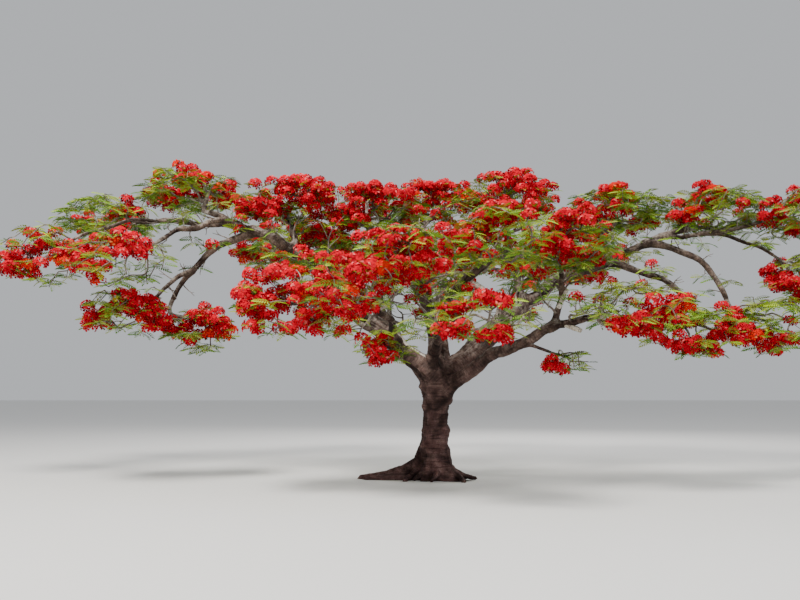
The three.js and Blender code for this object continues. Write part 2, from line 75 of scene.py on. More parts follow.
# Boughs: name, parent, place on the parent, tip, bow, radius at foot, radius at tip
BOUGHS = [
    ("left_arch", "trunk", 0.9, (-4.33, 0.62, 5.08), (-0.04, -0.56, 0.4), 0.19, 0.06),
    ("right_shoulder", "trunk", 0.88, (5.02, 0.82, 4.78), (-0.08, 0.25, 0.46), 0.172, 0.056),
    ("right_lower", "trunk", 0.8, (2.56, -1.56, 2.84), (-0.04, 0.02, 0.19), 0.146, 0.06),
    ("centre_left_crest", "trunk", 0.95, (-1.18, 0.45, 4.71), (0.33, -0.06, 0.06), 0.132, 0.062),
    ("centre_right", "trunk", 0.96, (0.94, -1.88, 3.82), (-0.36, 0.1, 0.17), 0.122, 0.06),
    ("back_left", "trunk", 0.9, (-2.3, 2.85, 4.38), (-0.12, 0.06, 0.3), 0.14, 0.062),
    ("back_right", "trunk", 0.86, (2.45, 2.85, 4.2), (0.14, 0.06, 0.28), 0.146, 0.062),
    ("back_middle", "trunk", 0.95, (0.1, 3.65, 4.45), (0.18, -0.06, 0.3), 0.128, 0.06),
    ("low_left", "trunk", 0.84, (-0.59, -0.98, 2.15), (-0.02, 0.04, 0.06), 0.052, 0.03),
    ("left_droop", "left_arch", 0.77, (-4.79, -0.25, 3.29), (-0.13, 0.02, 0.19), 0.078, 0.044),
    ("left_middle", "left_arch", 0.86, (-4.86, -0.98, 4.26), (-0.06, -0.06, 0.12), 0.062, 0.04),
    ("left_upper", "left_arch", 0.84, (-5.82, 0.64, 4.9), (-0.04, -0.06, 0.03), 0.058, 0.036),
    ("far_left", "left_upper", 0.5, (-6.56, -0.18, 4.48), (-0.06, -0.12, 0.09), 0.04, 0.03),
    ("left_skirt", "left_droop", 0.7, (-4.98, -0.74, 3.24), (-0.02, -0.04, 0.06), 0.044, 0.032),
    ("left_crest", "left_arch", 0.6, (-2.76, 0.22, 4.88), (0.06, 0.04, 0.04), 0.066, 0.042),
    ("left_inner", "left_arch", 0.42, (-2.06, 0.86, 4.18), (0.04, 0.06, 0.06), 0.064, 0.042),
    ("left_front_skirt", "left_arch", 0.3, (-2.08, -1.9, 3.12), (0.06, -0.09, 0.12), 0.082, 0.046),
    ("front_left", "left_arch", 0.16, (-1.21, -2.68, 2.98), (0.08, -0.06, 0.12), 0.078, 0.044),
    ("centre_top", "centre_left_crest", 0.66, (0.04, 1.95, 5.28), (-0.06, 0.06, 0.08), 0.074, 0.046),
    ("front_middle", "centre_right", 0.42, (-0.33, -2.38, 3.46), (-0.06, -0.06, 0.06), 0.066, 0.042),
    ("front_low", "centre_right", 0.22, (0.28, -3.12, 2.7), (0.03, -0.12, 0.16), 0.084, 0.048),
    ("centre_right_crest", "right_shoulder", 0.36, (1.46, 0.75, 5.08), (-0.04, 0.06, -0.12), 0.086, 0.048),
    ("right_inner", "right_lower", 0.78, (2.14, -1.42, 3.62), (0.09, 0.06, 0.02), 0.066, 0.04),
    ("right_droop", "right_lower", 0.56, (1.96, -1.26, 2.27), (0.0, -0.02, 0.06), 0.038, 0.024),
    ("right_crest", "right_shoulder", 0.6, (3.74, 1.42, 4.98), (-0.04, 0.04, 0.06), 0.068, 0.044),
    ("right_low", "right_shoulder", 0.63, (4.76, -0.12, 3.19), (0.19, 0.04, 0.26), 0.08, 0.046),
    ("right_skirt", "right_shoulder", 0.84, (5.62, 0.42, 3.36), (0.26, 0.02, 0.2), 0.072, 0.046),
    ("far_right_top", "right_shoulder", 0.9, (6.29, 0.26, 4.84), (0.04, 0.02, -0.06), 0.05, 0.036),
    ("far_right", "far_right_top", 0.4, (6.56, 0.46, 4.22), (0.06, 0.04, 0.09), 0.04, 0.03),
]
# A bough's crook: its size against the length, how much of it rises, its half turns and phases
CROOK, CROOK_RISE, CROOK_TURNS = 0.022, 0.7, 3.2
CROOK_PHASES = (2.4, 1.7)

# Masses: bough, middle of its space, half sizes of its space, share of ends in flower
MASSES = [
    ("far_left", (-7.24, -0.25, 4.09), (0.96, 1.15, 0.7), 0.6),
    ("left_upper", (-6.56, 1.3, 5.06), (1.08, 1.45, 0.56), 0.3),
    ("left_middle", (-5.42, -1.5, 3.9), (0.96, 1.15, 0.64), 0.45),
    ("left_arch", (-4.96, 1.5, 5.7), (1.18, 1.65, 0.48), 0.45),
    ("left_skirt", (-5.42, -0.9, 2.96), (0.82, 0.85, 0.54), 0.6),
    ("left_droop", (-4.24, -0.42, 2.72), (0.7, 0.7, 0.52), 0.6),
    ("left_crest", (-2.72, 0.32, 5.23), (1.26, 1.3, 0.44), 0.8),
    ("left_inner", (-2.25, 1.3, 4.48), (1.1, 1.0, 0.48), 0.4),
    ("left_front_skirt", (-2.46, -2.65, 2.99), (0.92, 1.15, 0.72), 0.8),
    ("front_left", (-1.33, -3.5, 3.18), (0.76, 0.9, 0.56), 0.6),
    ("low_left", (-0.86, -1.42, 2.31), (0.56, 0.54, 0.28), 0.6),
    ("centre_left_crest", (-1.24, 0.6, 5.11), (1.25, 1.35, 0.5), 0.5),
    ("centre_top", (0.13, 2.6, 5.65), (1.35, 1.25, 0.5), 0.5),
    ("centre_right_crest", (1.48, 0.9, 5.45), (1.25, 1.35, 0.48), 0.55),
    ("centre_right", (0.96, -2.7, 4.06), (1.0, 1.15, 0.56), 0.5),
    ("front_middle", (-0.56, -3.3, 3.72), (0.92, 1.05, 0.54), 0.5),
    ("front_low", (0.42, -4.15, 2.64), (1.18, 1.05, 0.42), 0.65),
    ("right_inner", (2.18, -1.95, 4.1), (0.98, 1.05, 0.58), 0.55),
    ("right_crest", (3.85, 1.85, 5.34), (1.35, 1.6, 0.52), 0.4),
    ("right_shoulder", (5.64, 1.05, 5.19), (1.1, 1.5, 0.55), 0.5),
    ("far_right_top", (7.08, 0.3, 5.01), (0.98, 1.3, 0.54), 0.45),
    ("right_lower", (3.08, -2.5, 2.94), (1.02, 1.15, 0.52), 0.55),
    ("right_low", (4.56, -0.95, 2.65), (0.96, 1.0, 0.58), 0.55),
    ("right_skirt", (6.12, -0.35, 2.8), (0.96, 1.15, 0.64), 0.5),
    ("far_right", (7.3, 0.35, 3.78), (1.0, 1.2, 0.62), 0.45),
    ("right_droop", (2.24, -1.46, 2.09), (0.46, 0.46, 0.28), 0.5),
    ("back_left", (-3.05, 3.9, 4.9), (1.6, 1.75, 0.72), 0.45),
    ("back_middle", (0.05, 4.85, 4.9), (1.7, 1.5, 0.64), 0.45),
    ("back_right", (3.15, 3.9, 4.72), (1.65, 1.75, 0.72), 0.45),
]
FLATNESS = 1.7  # how much more heights count where two neighbouring spaces are parted
SPREAD_STEPS = np.array([0.8191725134, 0.6710436067, 0.5497004779])  # from one end to the next
SPREAD_SHIFT = 0.137  # from one mass to the next
BLOOM_STEP, BLOOM_SHIFT = 0.618034, 0.31  # the same steps for which ends flower
HOLLOW_SHARE = 0.18  # share of a space round its middle in which no twig ends
STEM_LENGTH = 0.17  # from the bough's tip to the first joint
WAY_SHARE = 0.45  # how much the way on to the bough's tip counts against a new twig's length

# The solids' ends: one to so much of a mass's half width, how far out in its space they may be, and
# their room to its walls
END_SPACING = 0.15
END_REACH = 0.79
END_MARGIN = 0.033

# Finer growth than the solids'
FINE_REACH = 0.88  # how far out in its space a finer twig may end
ENDS_PER_M2 = (17.0, 15.0)  # ends over the plan area of a plain and of a rich mass's space
FEWEST_ENDS = 26
TIP_RADIUS = 0.0075
JOINT_STEP = 0.12  # spacing of the places along a twig where others may join
CROOKED = 0.2  # sideways wander of a twig against its length
LIMB_CLEARANCE = 0.03  # between a new twig's straight way and every limb
LEAF_LIMIT = 1.02  # how far out in its space a leaf or flower may reach
BUNCH_SPAN = (0.34, 0.38)  # a finer end this near a flowering one of the solids' ends flowers too
BUNCH_WIDTH = (0.21, 0.23)  # more flowering ends stand round each, this far from it
BUNCH_RING, BUNCH_MARGIN, BUNCH_REACH = 6, 0.02, 0.97  # how many, room to the walls, how far out
GOLDEN_TURN = 2.39996  # radians from one leaf or flower round a twig to the next

# Bark, in metres where it isn't against a limb's radius
LINE_POINTS = 97  # on a limb's middle line
WANDER = 0.7  # how far a bough strays from its smooth arc, against its radius
WANDER_LENGTH = 0.42  # of its kinks
FILLET = 1.5  # size of the flow from limb to limb, against the thinner one's radius
LUMP_SIZE, SAG_SIZE, GRAIN_SIZE = 0.22, 0.3, 0.026
CREASE_STEP, RING_STEP = 0.075, 0.028
# From this relief the material paints shade into the hollows and a highlight onto the ridges
RELIEF_UNIT = 0.08  # the relief is told to the material in units of this share of the radius
BARE_DEPTH = 0.012
TRUNK_GRID, ROOT_GRID = (270, 280), (72, 26)  # rings and sides
STOUT_RADIUS = 0.1  # at the foot of the boughs with the finer grid
STOUT_GRID, SLIM_GRID = (0.02, 72), (0.022, 36)  # spacing of a bough's rings, and sides
TRUNK_DOME = 0.2  # the stretch under the fork in which the trunk draws in
ROOT_START = 0.08  # distance of the roots' beginnings from the trunk's middle

# Swellings and scars on the trunk: height, bearing in degrees, width, how far they stand out
KNOBS = [
    (1.7, 184, 0.07, 0.075),
    (1.43, 352, 0.075, 0.035),
    (1.16, 330, 0.09, 0.03),
    (0.93, 8, 0.07, 0.028),
    (0.62, 214, 0.1, 0.03),
    (1.3, 248, 0.08, 0.022),
    (0.8, 290, 0.06, 0.02),
    (1.5, 60, 0.09, 0.03),
    (0.9, 120, 0.1, 0.03),
]

# Roots over the spurs: bearing in degrees, reach, radius at the trunk and at the tip, bend, and
# the distance over which a root sinks to about a third of its height
ROOTS = [
    (177, 1.36, 0.15, 0.06, 0.1, 0.4),
    (203, 0.66, 0.1, 0.04, 0.3, 0.22),
    (232, 0.5, 0.085, 0.035, -0.2, 0.2),
    (276, 0.48, 0.085, 0.035, 0.25, 0.2),
    (314, 0.74, 0.095, 0.04, -0.2, 0.27),
    (343, 0.76, 0.085, 0.035, 0.15, 0.3),
    (22, 0.6, 0.09, 0.035, 0.2, 0.2),
    (74, 0.72, 0.11, 0.04, -0.2, 0.26),
    (130, 0.68, 0.1, 0.04, 0.25, 0.22),
]

# The wedge torn bare on the left bough: middle and half length along it, bearing round it, and its
# half width at the far end, from which it narrows to a point towards the fork
BARE_STRIP = (0.78, 0.4, 0.1, 0.42)

# Side shoots on the boughs, bare or with tufts
SHOOT_START = 0.25  # share of a bough before the first
SHOOT_STEP = 0.2  # spacing along a bough
SHOOT_LENGTH = 0.28  # at the crown's rim, and this much more over the trunk
SHOOT_MORE = 0.8
SHOOT_RADIUS = 0.015
SHOOT_HEIGHT = 2.75  # no shoots lower than this, round the fork
SHOOT_REGION = (3.3, 4.3)  # half width and half depth of the crown's middle
SHOOT_LEAVES, SHOOT_FLOWERS = (3, 6), 9
# Painted shade: the shoots' leaves inside the crown take deeper tones
SHOOT_SHADE = 0.6  # how far towards the deep tones its leaves are moved, as in a mass's middle

# Masses that flower more thickly than the rest, with the share of their finer ends in flower too
RICH = {
    "left_front_skirt": 0.6,
    "front_left": 0.5,
    "left_crest": 0.35,
    "left_inner": 0.2,
    "front_middle": 0.3,
    "centre_right": 0.22,
    "centre_left_crest": 0.22,
    "centre_right_crest": 0.22,
    "centre_top": 0.2,
    "right_lower": 0.2,
    "left_middle": 0.12,
    "far_left": 0.15,
    "left_arch": 0.16,
    "left_upper": 0.12,
    "back_left": 0.25,
    "back_middle": 0.25,
    "back_right": 0.25,
}
PLAIN_SHARE = 0.09  # the same share in the rest
# Masses that flower richly and are as leafy as the plain ones
LEAFY = {"left_arch", "left_upper", "back_left", "back_middle", "back_right"}
# Leaves at a twig's end, from and below: in flower, and not in flower in a mass that is plain, that
# flowers richly or that flowers in domes
LEAVES_AT_END = ((0, 3), (6, 11), (3, 6), (2, 4))
# Masses whose flowers stand in single domes, at least this far apart
DOMES = {"front_low": 0.4, "low_left": 0.4, "right_droop": 0.4}
DOME_ENDS = 0.6  # share of the ends that they keep
# Flowers in a head at a twig's end, from and below
HEAD_FLOWERS = (11, 14)
HEAD_RADIUS, FLOWER_SIZE = (0.09, 0.135), (0.06, 0.074)  # from and to
# The streaked petal's pale tone is partly the real streak and partly a painted glint
ORANGE_SHARE, PLAIN_PETALS = 0.07, 0.45  # share of heads, and of flowers without a streaked petal
LEAF_LENGTH, LEAF_DROOP = (0.18, 0.3), (0.15, 0.5)  # from and to, droop against the length
SHORTEST_LEAF = 0.11  # leaves cut shorter than this by the space's limit are left out

# Pale ends of cut branches: bough, place along it, way it points, length, radius
STUBS = [
    ("centre_right", 0.8, (0.8, -0.4, -0.45), 0.36, 0.042),
    ("right_inner", 0.35, (0.35, -0.35, 0.85), 0.36, 0.036),
    ("right_lower", 0.87, (0.75, -0.5, -0.45), 0.3, 0.042),
]


def unit(v):
    """Vectors scaled to length one."""
    return v / np.maximum(np.linalg.norm(v, axis=-1, keepdims=True), 1e-12)


def fract(x):
    """What is left of numbers without their whole part."""
    return x - np.floor(x)


def hashed(i, j, k, seed):
    """A repeatable number from 0 to 1 for whole numbers, by multiplying and folding their bits."""
    h = (i * 374761393 + j * 668265263 + k * 1103515245 + seed * 1274126177) & 0xFFFFFFFF
    h = ((h ^ (h >> 13)) * 1274126177) & 0xFFFFFFFF
    return ((h ^ (h >> 16)) & 0xFFFFFF) / 0xFFFFFF


def noise(p, seed=0):
    """Smooth noise from -1 to 1 at points: the hashed numbers at the corners of the unit cell
    round each point, blended along each axis by three t squared less two t cubed."""
    base = np.floor(p).astype(np.int64)
    t = p - base
    w = t * t * (3 - 2 * t)
    total = 0
    for dx in (0, 1):
        for dy in (0, 1):
            for dz in (0, 1):
                corner = hashed(base[..., 0] + dx, base[..., 1] + dy, base[..., 2] + dz, seed)
                share = np.abs(1 - dx - w[..., 0]) * np.abs(1 - dy - w[..., 1])
                total = total + corner * share * np.abs(1 - dz - w[..., 2])
    return 2 * total - 1


def stray(p, step, seed):
    """Vectors of three noises at points, each a step further on and with the next seed."""
    return np.stack([noise(p + step * c, seed + c) for c in range(3)], -1)


def piece_from(name, materials, verts, faces, uv=None, relief=None, bare=None, slots=None, smooth=True):
    """One mesh object from whole arrays of points and triangles, riding on the root. The bark's
    relief and where it is torn bare become attributes of the points."""
    verts = np.ascontiguousarray(verts, dtype=np.float32)
    faces = np.ascontiguousarray(faces, dtype=np.int32)
    mesh = bpy.data.meshes.new(name)
    mesh.vertices.add(len(verts))
    mesh.vertices.foreach_set("co", verts.ravel())
    mesh.loops.add(faces.size)
    mesh.loops.foreach_set("vertex_index", faces.ravel())
    mesh.polygons.add(len(faces))
    mesh.polygons.foreach_set("loop_start", np.arange(0, faces.size, 3, dtype=np.int32))
    mesh.polygons.foreach_set("loop_total", np.full(len(faces), 3, dtype=np.int32))
    mesh.update(calc_edges=True)
    if uv is not None:
        layer = mesh.uv_layers.new(name="along_bark")
        layer.data.foreach_set("uv", uv[faces.ravel()].astype(np.float32).ravel())
    if relief is not None:
        for label, values in (("relief", relief), ("bare", bare)):
            layer = mesh.attributes.new(label, "FLOAT", "POINT")
            layer.data.foreach_set("value", values.astype(np.float32))
    for material in materials:
        mesh.materials.append(material)
    if slots is not None:
        mesh.polygons.foreach_set("material_index", np.ascontiguousarray(slots, dtype=np.int32))
    mesh.polygons.foreach_set("use_smooth", np.full(len(faces), smooth))
    piece = bpy.data.objects.new(name, mesh)
    bpy.context.collection.objects.link(piece)
    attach(piece, "root")
    return piece


def grid_faces(rings, sides):
    """Triangles of a closed tube skin of rings times sides points, with a pole point at each end."""
    i = np.arange(sides)
    j = (i + 1) % sides
    k = np.arange(rings - 1)[:, None] * sides
    a, b = k + i, k + j
    foot, top = rings * sides + 0 * i, rings * sides + 1 + 0 * i
    last = (rings - 1) * sides
    kinds = [(a, b, b + sides), (a, b + sides, a + sides), (foot, j, i), (top, last + i, last + j)]
    return np.concatenate([np.stack(corners, -1).reshape(-1, 3) for corners in kinds])


def frames_along(path):
    """Side and up vectors along a path, each turned from the last by no more than the path turns."""
    along = unit(np.gradient(path, axis=0))
    side = np.empty_like(along)
    first = np.cross([0, 0, 1.0], along[0])
    side[0] = unit(first if np.linalg.norm(first) > 1e-3 else np.array([1.0, 0, 0]))
    for i in range(1, len(path)):
        side[i] = unit(side[i - 1] - along[i] * (side[i - 1] @ along[i]))
    return along, side, np.cross(along, side)


def length_along(path):
    """The length of a path from its start to each of its points."""
    return np.concatenate([[0], np.cumsum(np.linalg.norm(np.diff(path, axis=0), axis=1))])


def rings_round(path, radii, sides):
    """Rings of points round a path and square to it, the angle and the length along the path at
    each of them, and the way that the path ends in."""
    along, side, up = frames_along(path)
    angle = 2 * np.pi * np.arange(sides) / sides
    out = side[:, None] * np.cos(angle)[None, :, None] + up[:, None] * np.sin(angle)[None, :, None]
    around, run = np.meshgrid(angle, length_along(path))
    return path[:, None] + out * radii[:, None, None], around, run, along[-1]


def closed(grid, foot, top, around, run):
    """A skin's points, triangles and bark coordinates: its rings, then a pole at its foot and its
    top. The coordinates are the share of a turn and the length along the limb."""
    verts = np.concatenate([grid.reshape(-1, 3), [foot], [top]])
    uv = np.stack([around / (2 * np.pi), run], -1).reshape(-1, 2)
    return verts, grid_faces(*grid.shape[:2]), np.concatenate([uv, [[0, 0], [0, run[-1, 0]]]])


def tube(path, radii, sides):
    """A closed tube: rings of points round a path, flat at its foot and pointed at its end."""
    grid, around, run, end = rings_round(path, radii, sides)
    return closed(grid, path[0], path[-1] + end * radii[-1], around, run)


def join(parts):
    """Several skins as one: their points end to end, their triangles counted on."""
    verts, faces, *rest = zip(*parts)
    starts = np.cumsum([0] + [len(v) for v in verts[:-1]])
    faces = [f + start for f, start in zip(faces, starts)]
    return (np.concatenate(verts), np.concatenate(faces), *map(np.concatenate, rest))


def trunk_centre(z):
    """The trunk's middle line: it leans by the square of the share of its height."""
    z = np.asarray(z, float)
    t = z / TRUNK_TOP
    return np.stack([TRUNK_LEAN[0] * t * t, TRUNK_LEAN[1] * t * t, z], -1)


def column_radius(z):
    """The trunk's radius without its spurs: an S curve from foot to waist, and one on to the fork."""
    below = z < WAIST_HEIGHT
    t = np.where(below, z / WAIST_HEIGHT, (z - WAIST_HEIGHT) / (TRUNK_TOP - WAIST_HEIGHT))
    smooth = t * t * (3 - 2 * t)
    start = np.where(below, RADIUS_FOOT, RADIUS_WAIST)
    end = np.where(below, RADIUS_WAIST, RADIUS_FORK)
    return start + (end - start) * smooth


def bough_line(foot, number, t):
    """A bough's middle line: a parabola through its bow, and a crook that fades at both ends."""
    tip, bow = np.array(BOUGHS[number][3:5])
    t = np.asarray(t, float)[..., None]
    middle = (foot + tip) / 2 + 2 * bow
    arc = (1 - t) ** 2 * foot + 2 * (1 - t) * t * middle + t * t * tip
    run = tip - foot
    length = np.linalg.norm(run)
    side = unit(np.array([-run[1], run[0], 0.0])) * CROOK * length
    rise = np.array([0, 0, CROOK_RISE * CROOK * length])
    fade = np.sin(np.pi * t)
    turn = CROOK_TURNS * np.pi * t
    sideways = side * fade * np.sin(turn + CROOK_PHASES[0] * number)
    return arc + sideways + rise * fade * np.cos(turn + CROOK_PHASES[1] * number)


def wandering_line(foot, number, t):
    """A bough's middle line with its kinks: the arc plus smooth noise along the length, sideways
    and upward, as large as a share of the radius and fading to nothing at both ends."""
    _, _, _, tip, _, foot_radius, tip_radius = BOUGHS[number]
    run = np.linalg.norm(np.asarray(tip) - foot) * t / WANDER_LENGTH
    radius = foot_radius + (tip_radius - foot_radius) * t
    size = WANDER * radius * np.sin(np.pi * t) ** 0.5
    at = np.stack([run, np.full_like(run, 3.7 * number), np.full_like(run, 0.5)], -1)
    kinks = stray(at, np.array([0, 0, 5.3]), 40)
    return bough_line(foot, number, t) + kinks * size[..., None]


class Limb:
    """A limb: the points of its middle line from the foot on, and their radii."""

    def __init__(self, name, parent, number, points, radii):
        self.name, self.parent, self.number = name, parent, number
        self.points, self.radii = points, radii
        self.box = (points.min(0) - radii.max(), points.max(0) + radii.max())

    def nearest(self, p):
        """Distance from points to the limb's skin, and the way out from its middle line there."""
        a, ab = self.points[:-1], np.diff(self.points, axis=0)
        distance = np.empty(len(p))
        out = np.empty_like(p)
        for start in range(0, len(p), 8000):
            part = slice(start, start + 8000)
            from_a = p[part, None] - a
            t = np.clip((from_a * ab).sum(-1) / (ab * ab).sum(-1), 0, 1)
            off = from_a - t[..., None] * ab
            far = np.linalg.norm(off, axis=-1)
            skin = far - (self.radii[:-1] + t * np.diff(self.radii))
            best = skin.argmin(1)
            rows = np.arange(len(best))
            distance[part] = skin[rows, best]
            out[part] = off[rows, best] / np.maximum(far[rows, best], 1e-9)[:, None]
        return distance, out


def lay_out_limbs():
    """The trunk and every bough, each bough's foot on the middle line of its parent."""
    heights = np.linspace(0, TRUNK_TOP - 0.12, LINE_POINTS)
    limbs = {"trunk": Limb("trunk", None, None, trunk_centre(heights), column_radius(heights))}
    t = np.linspace(0, 1, LINE_POINTS)
    for number, (name, parent, at, _, _, foot_radius, tip_radius) in enumerate(BOUGHS):
        if parent == "trunk":
            foot = trunk_centre(at * TRUNK_TOP)
        else:
            foot = bough_line(limbs[parent].points[0], limbs[parent].number, at)
        radii = foot_radius + (tip_radius - foot_radius) * t
        limbs[name] = Limb(name, parent, number, wandering_line(foot, number, t), radii)
    return limbs


limbs = lay_out_limbs()


def related(limb):
    """The limbs that meet a limb: its parent, its children and its neighbours on the trunk."""
    found = []
    for other in limbs.values():
        beside = limb.parent == "trunk" and other.parent == "trunk" and other is not limb
        if beside or other.parent == limb.name or other.name == limb.parent:
            found.append(other)
    return found


def flow_together(grid, limb):
    """Moves a limb's skin out where another limb meets it, so that the two flow together. A point
    on both skins moves out by a quarter of the fillet's size, and this fades to nothing over one
    fillet's size on either side. Where several limbs meet, the largest of the moves prevails."""
    points = grid.reshape(-1, 3)
    moved = np.zeros_like(points)
    total = np.zeros(len(points))
    _, own_out = limb.nearest(points)
    for other in related(limb):
        fillet = FILLET * min(limb.radii[0], other.radii[0])
        inside = np.all((points > other.box[0] - fillet) & (points < other.box[1] + fillet), axis=1)
        rows = np.flatnonzero(inside)
        distance, out = other.nearest(points[rows])
        share = np.maximum(1 - np.abs(distance) / fillet, 0)
        lean = 0.5 * share[:, None]
        way = own_out[rows] * (1 - lean) + out * lean
        step = 0.25 * fillet * share * share / np.maximum((way * way).sum(1), 0.3)
        moved[rows] += way * (step**6)[:, None]
        total[rows] += step**6
    return (points + moved / np.maximum(total, 1e-30)[:, None] ** (5 / 6)).reshape(grid.shape)


def bark_relief(grid, radius, around, length, seed, settle):
    """Height of the bark over its limb: broad lumps as wide as the limb, creases across it and
    flutes down it where smooth noise crosses zero, finer rings, and a grain. The rings and creases
    settle to nothing towards a bough's foot. The rest is taken from places in the tree, so that it
    runs on from limb to limb."""
    turn = np.stack([np.cos(around), np.sin(around)], -1)
    sag = noise(grid / SAG_SIZE, 12)
    fold = np.concatenate([turn * 0.7, (length / CREASE_STEP + 1.5 * sag)[..., None]], -1)
    ring = np.concatenate([turn * 1.6, (length / RING_STEP + 2 * sag)[..., None]], -1)
    flute = np.concatenate([turn * 2.6, (length / (5 * radius))[..., None]], -1)
    lumps = noise(grid / LUMP_SIZE, 6) + 0.6 * noise(2 * grid / LUMP_SIZE, 7)
    crease = -np.maximum(1 - 3.5 * np.abs(noise(fold, seed + 4)), 0)
    split = -np.maximum(1 - 4.5 * np.abs(noise(flute, seed + 1)), 0)
    fine = (0.0014 + 0.014 * radius) * noise(ring, seed + 2) * settle
    fine = fine + (0.001 + 0.008 * radius) * noise(grid / GRAIN_SIZE, 8)
    deep = (0.002 + 0.036 * radius) * crease * settle + (0.002 + 0.04 * radius) * split
    return 0.13 * radius * lumps + fine + deep


def bark_skin(grid, foot, top, wide, around, run, seed, settle=1.0, bare=0.0):
    """A closed skin whose grid is moved out along its normals by the bark's relief, but sunk where
    it is torn bare, and kept above the ground. With it come the relief, in shares of the radius,
    and where it is bare. The normals are the cross product of the ways round and along the grid."""
    lift = bark_relief(grid, wide, around, run, seed, settle)
    bare = bare + 0 * lift
    ways_round = np.roll(grid, -1, axis=1) - np.roll(grid, 1, axis=1)
    normals = unit(np.cross(ways_round, np.gradient(grid, axis=0)))
    grid = grid + normals * (lift * (1 - bare) - BARE_DEPTH * bare)[..., None]
    verts, faces, uv = closed(grid, foot, top, around, run)
    verts[:, 2] = np.maximum(verts[:, 2], 0)
    relief = np.append(lift / (RELIEF_UNIT * wide), [0, 0])
    return verts, faces, uv, relief, np.append(bare, [0, 0])


def torn_wedge(around, run):
    """Where the left bough is torn bare, from 0 to 1: it falls off by high powers of the distances
    from the wedge's middle against its half sizes, so that the edges are sharp."""
    middle, half, bearing, width = BARE_STRIP
    off = (around - bearing + np.pi) % (2 * np.pi) - np.pi
    width = width * np.clip((run - middle + half) / (2 * half), 0.12, 1)
    return np.exp(-(((run - middle) / half) ** 8) - (off / width) ** 6)


def bough_skin(limb):
    """A bough as rings round its middle line, moved out by its flow into other limbs and then by
    the bark's relief along the new normals. A low cone closes its tip."""
    spacing, sides = STOUT_GRID if limb.radii[0] > STOUT_RADIUS else SLIM_GRID
    rings = int(length_along(limb.points)[-1] / spacing) + 2
    t = np.linspace(0, 1, rings)
    path = wandering_line(limb.points[0], limb.number, t)
    radius = np.interp(t, np.linspace(0, 1, LINE_POINTS), limb.radii)
    grid, around, run, end = rings_round(path, radius, sides)
    wide = radius[:, None] + 0 * around
    settle = np.clip(run / (3.2 * radius[0]) - 0.3, 0, 1)
    bare = torn_wedge(around, run) if limb.name == "left_arch" else 0.0
    top = path[-1] + end * 0.3 * radius[-1]
    grid = flow_together(grid, limb)
    return bark_skin(grid, path[0], top, wide, around, run, 11 * limb.number, settle, bare)


def root_skin(bearing, reach, thick, thin, bend, fall):
    """A root over its spur: its middle sinks as an exponential of the distance from the trunk's
    and wanders aside by a sine, its radius falls evenly, and the ground cuts it flat below."""
    rings, sides = ROOT_GRID
    share = np.linspace(0, 1, rings)
    out = ROOT_START + share * (reach - ROOT_START)
    turn = np.radians(bearing) + bend * np.sin(3.2 * share + 0.05 * bearing) * share
    height = 0.52 * np.exp(-out / fall) + 0.05 * (1 - share**2) - 0.015
    height = height + 0.014 * noise(share[:, None] * [7, 2, 3] + bearing, 9)
    path = np.stack([np.cos(turn) * out, np.sin(turn) * out, height], -1)
    uneven = 1 + 0.16 * noise(share[:, None] * [9, 1, 1] + bearing, 10)
    radius = (thick + (thin - thick) * share) * uneven
    grid, around, _, end = rings_round(path, radius, sides)
    run = (share * reach)[:, None] + 0 * around
    wide = radius[:, None] + 0 * around
    return bark_skin(grid, path[0], path[-1] + end * radius[-1], wide, around, run, bearing)


def trunk_skin():
    """The trunk as rings at heights closer together near the ground: the column, plus for each root
    spur its reach falling off as a bell curve to both sides and exponentially with height, for each
    swelling a bell curve round it, and noise that fades out above the foot. The top draws in as a
    dome. Then come the fork's flow into the boughs and the bark's relief."""
    rings, sides = TRUNK_GRID
    share = np.linspace(0, 1, rings)
    heights = (TRUNK_TOP - 0.02) * (0.35 * share**2 + 0.65 * share)
    around, z = np.meshgrid(2 * np.pi * np.arange(sides) / sides, heights)
    bearing = np.degrees(around)
    column = column_radius(z)
    radius = column
    for spur_bearing, reach, width in SPURS:
        off = ((bearing - spur_bearing + 540) % 360 - 180) / width
        radius = radius + reach * np.exp(-off * off) * np.exp(-z / SPUR_HEIGHT)
    for height, knob_bearing, width, rise in KNOBS:
        aside = np.radians((bearing - knob_bearing + 540) % 360 - 180) * RADIUS_WAIST
        radius = radius + rise * np.exp(-(aside**2 + (z - height) ** 2) / width**2)
    out = np.stack([np.cos(around), np.sin(around), 0 * around], -1)
    uneven = noise(3.2 * out + z[..., None] * [0, 0, 2], 77)
    radius = radius + (0.1 * uneven - 0.03) * np.exp(-z / 0.16)
    dome = np.clip((z - (TRUNK_TOP - TRUNK_DOME)) / TRUNK_DOME, 0, 1)
    radius = radius * np.sqrt(1 - dome**2 * 0.98)
    grid = flow_together(trunk_centre(z) + out * radius[..., None], limbs["trunk"])
    foot, top = (0, 0, 0), (0, 0, TRUNK_TOP)
    verts, *rest = bark_skin(grid, foot, top, np.minimum(column, 0.3), around, z, 901)
    verts[:sides, 2] = 0
    verts[-1] = verts[-2 - sides : -2].mean(0)
    return (verts, *rest)


class Space:
    """A mass's own space: what of its ellipsoid lies nearer to its middle than to any other's."""

    def __init__(self, number, name, middle, half, bloom):
        self.number, self.name, self.bloom = number, name, bloom
        self.middle, self.half = np.array(middle), np.array(half)
        squash = np.array([1, 1, FLATNESS])
        walls = []
        for other_name, other_middle, other_half, _ in MASSES:
            if other_name == name:
                continue
            start, end = self.middle * squash, np.array(other_middle) * squash
            shift = half[0] * half[1] - other_half[0] * other_half[1]
            way = (end - start) * squash
            level = (end @ end - start @ start + shift) / 2
            walls.append(np.append(way, level) / np.linalg.norm(way))
        self.walls = np.array(walls)

    def holds(self, p, margin, reach=1.0):
        """True for points inside the ellipsoid and at least the margin inside every wall."""
        near = np.linalg.norm((p - self.middle) / self.half, axis=-1) <= reach
        room = self.walls[:, 3] - p @ self.walls[:, :3].T
        return near & np.all(room > margin, axis=-1)


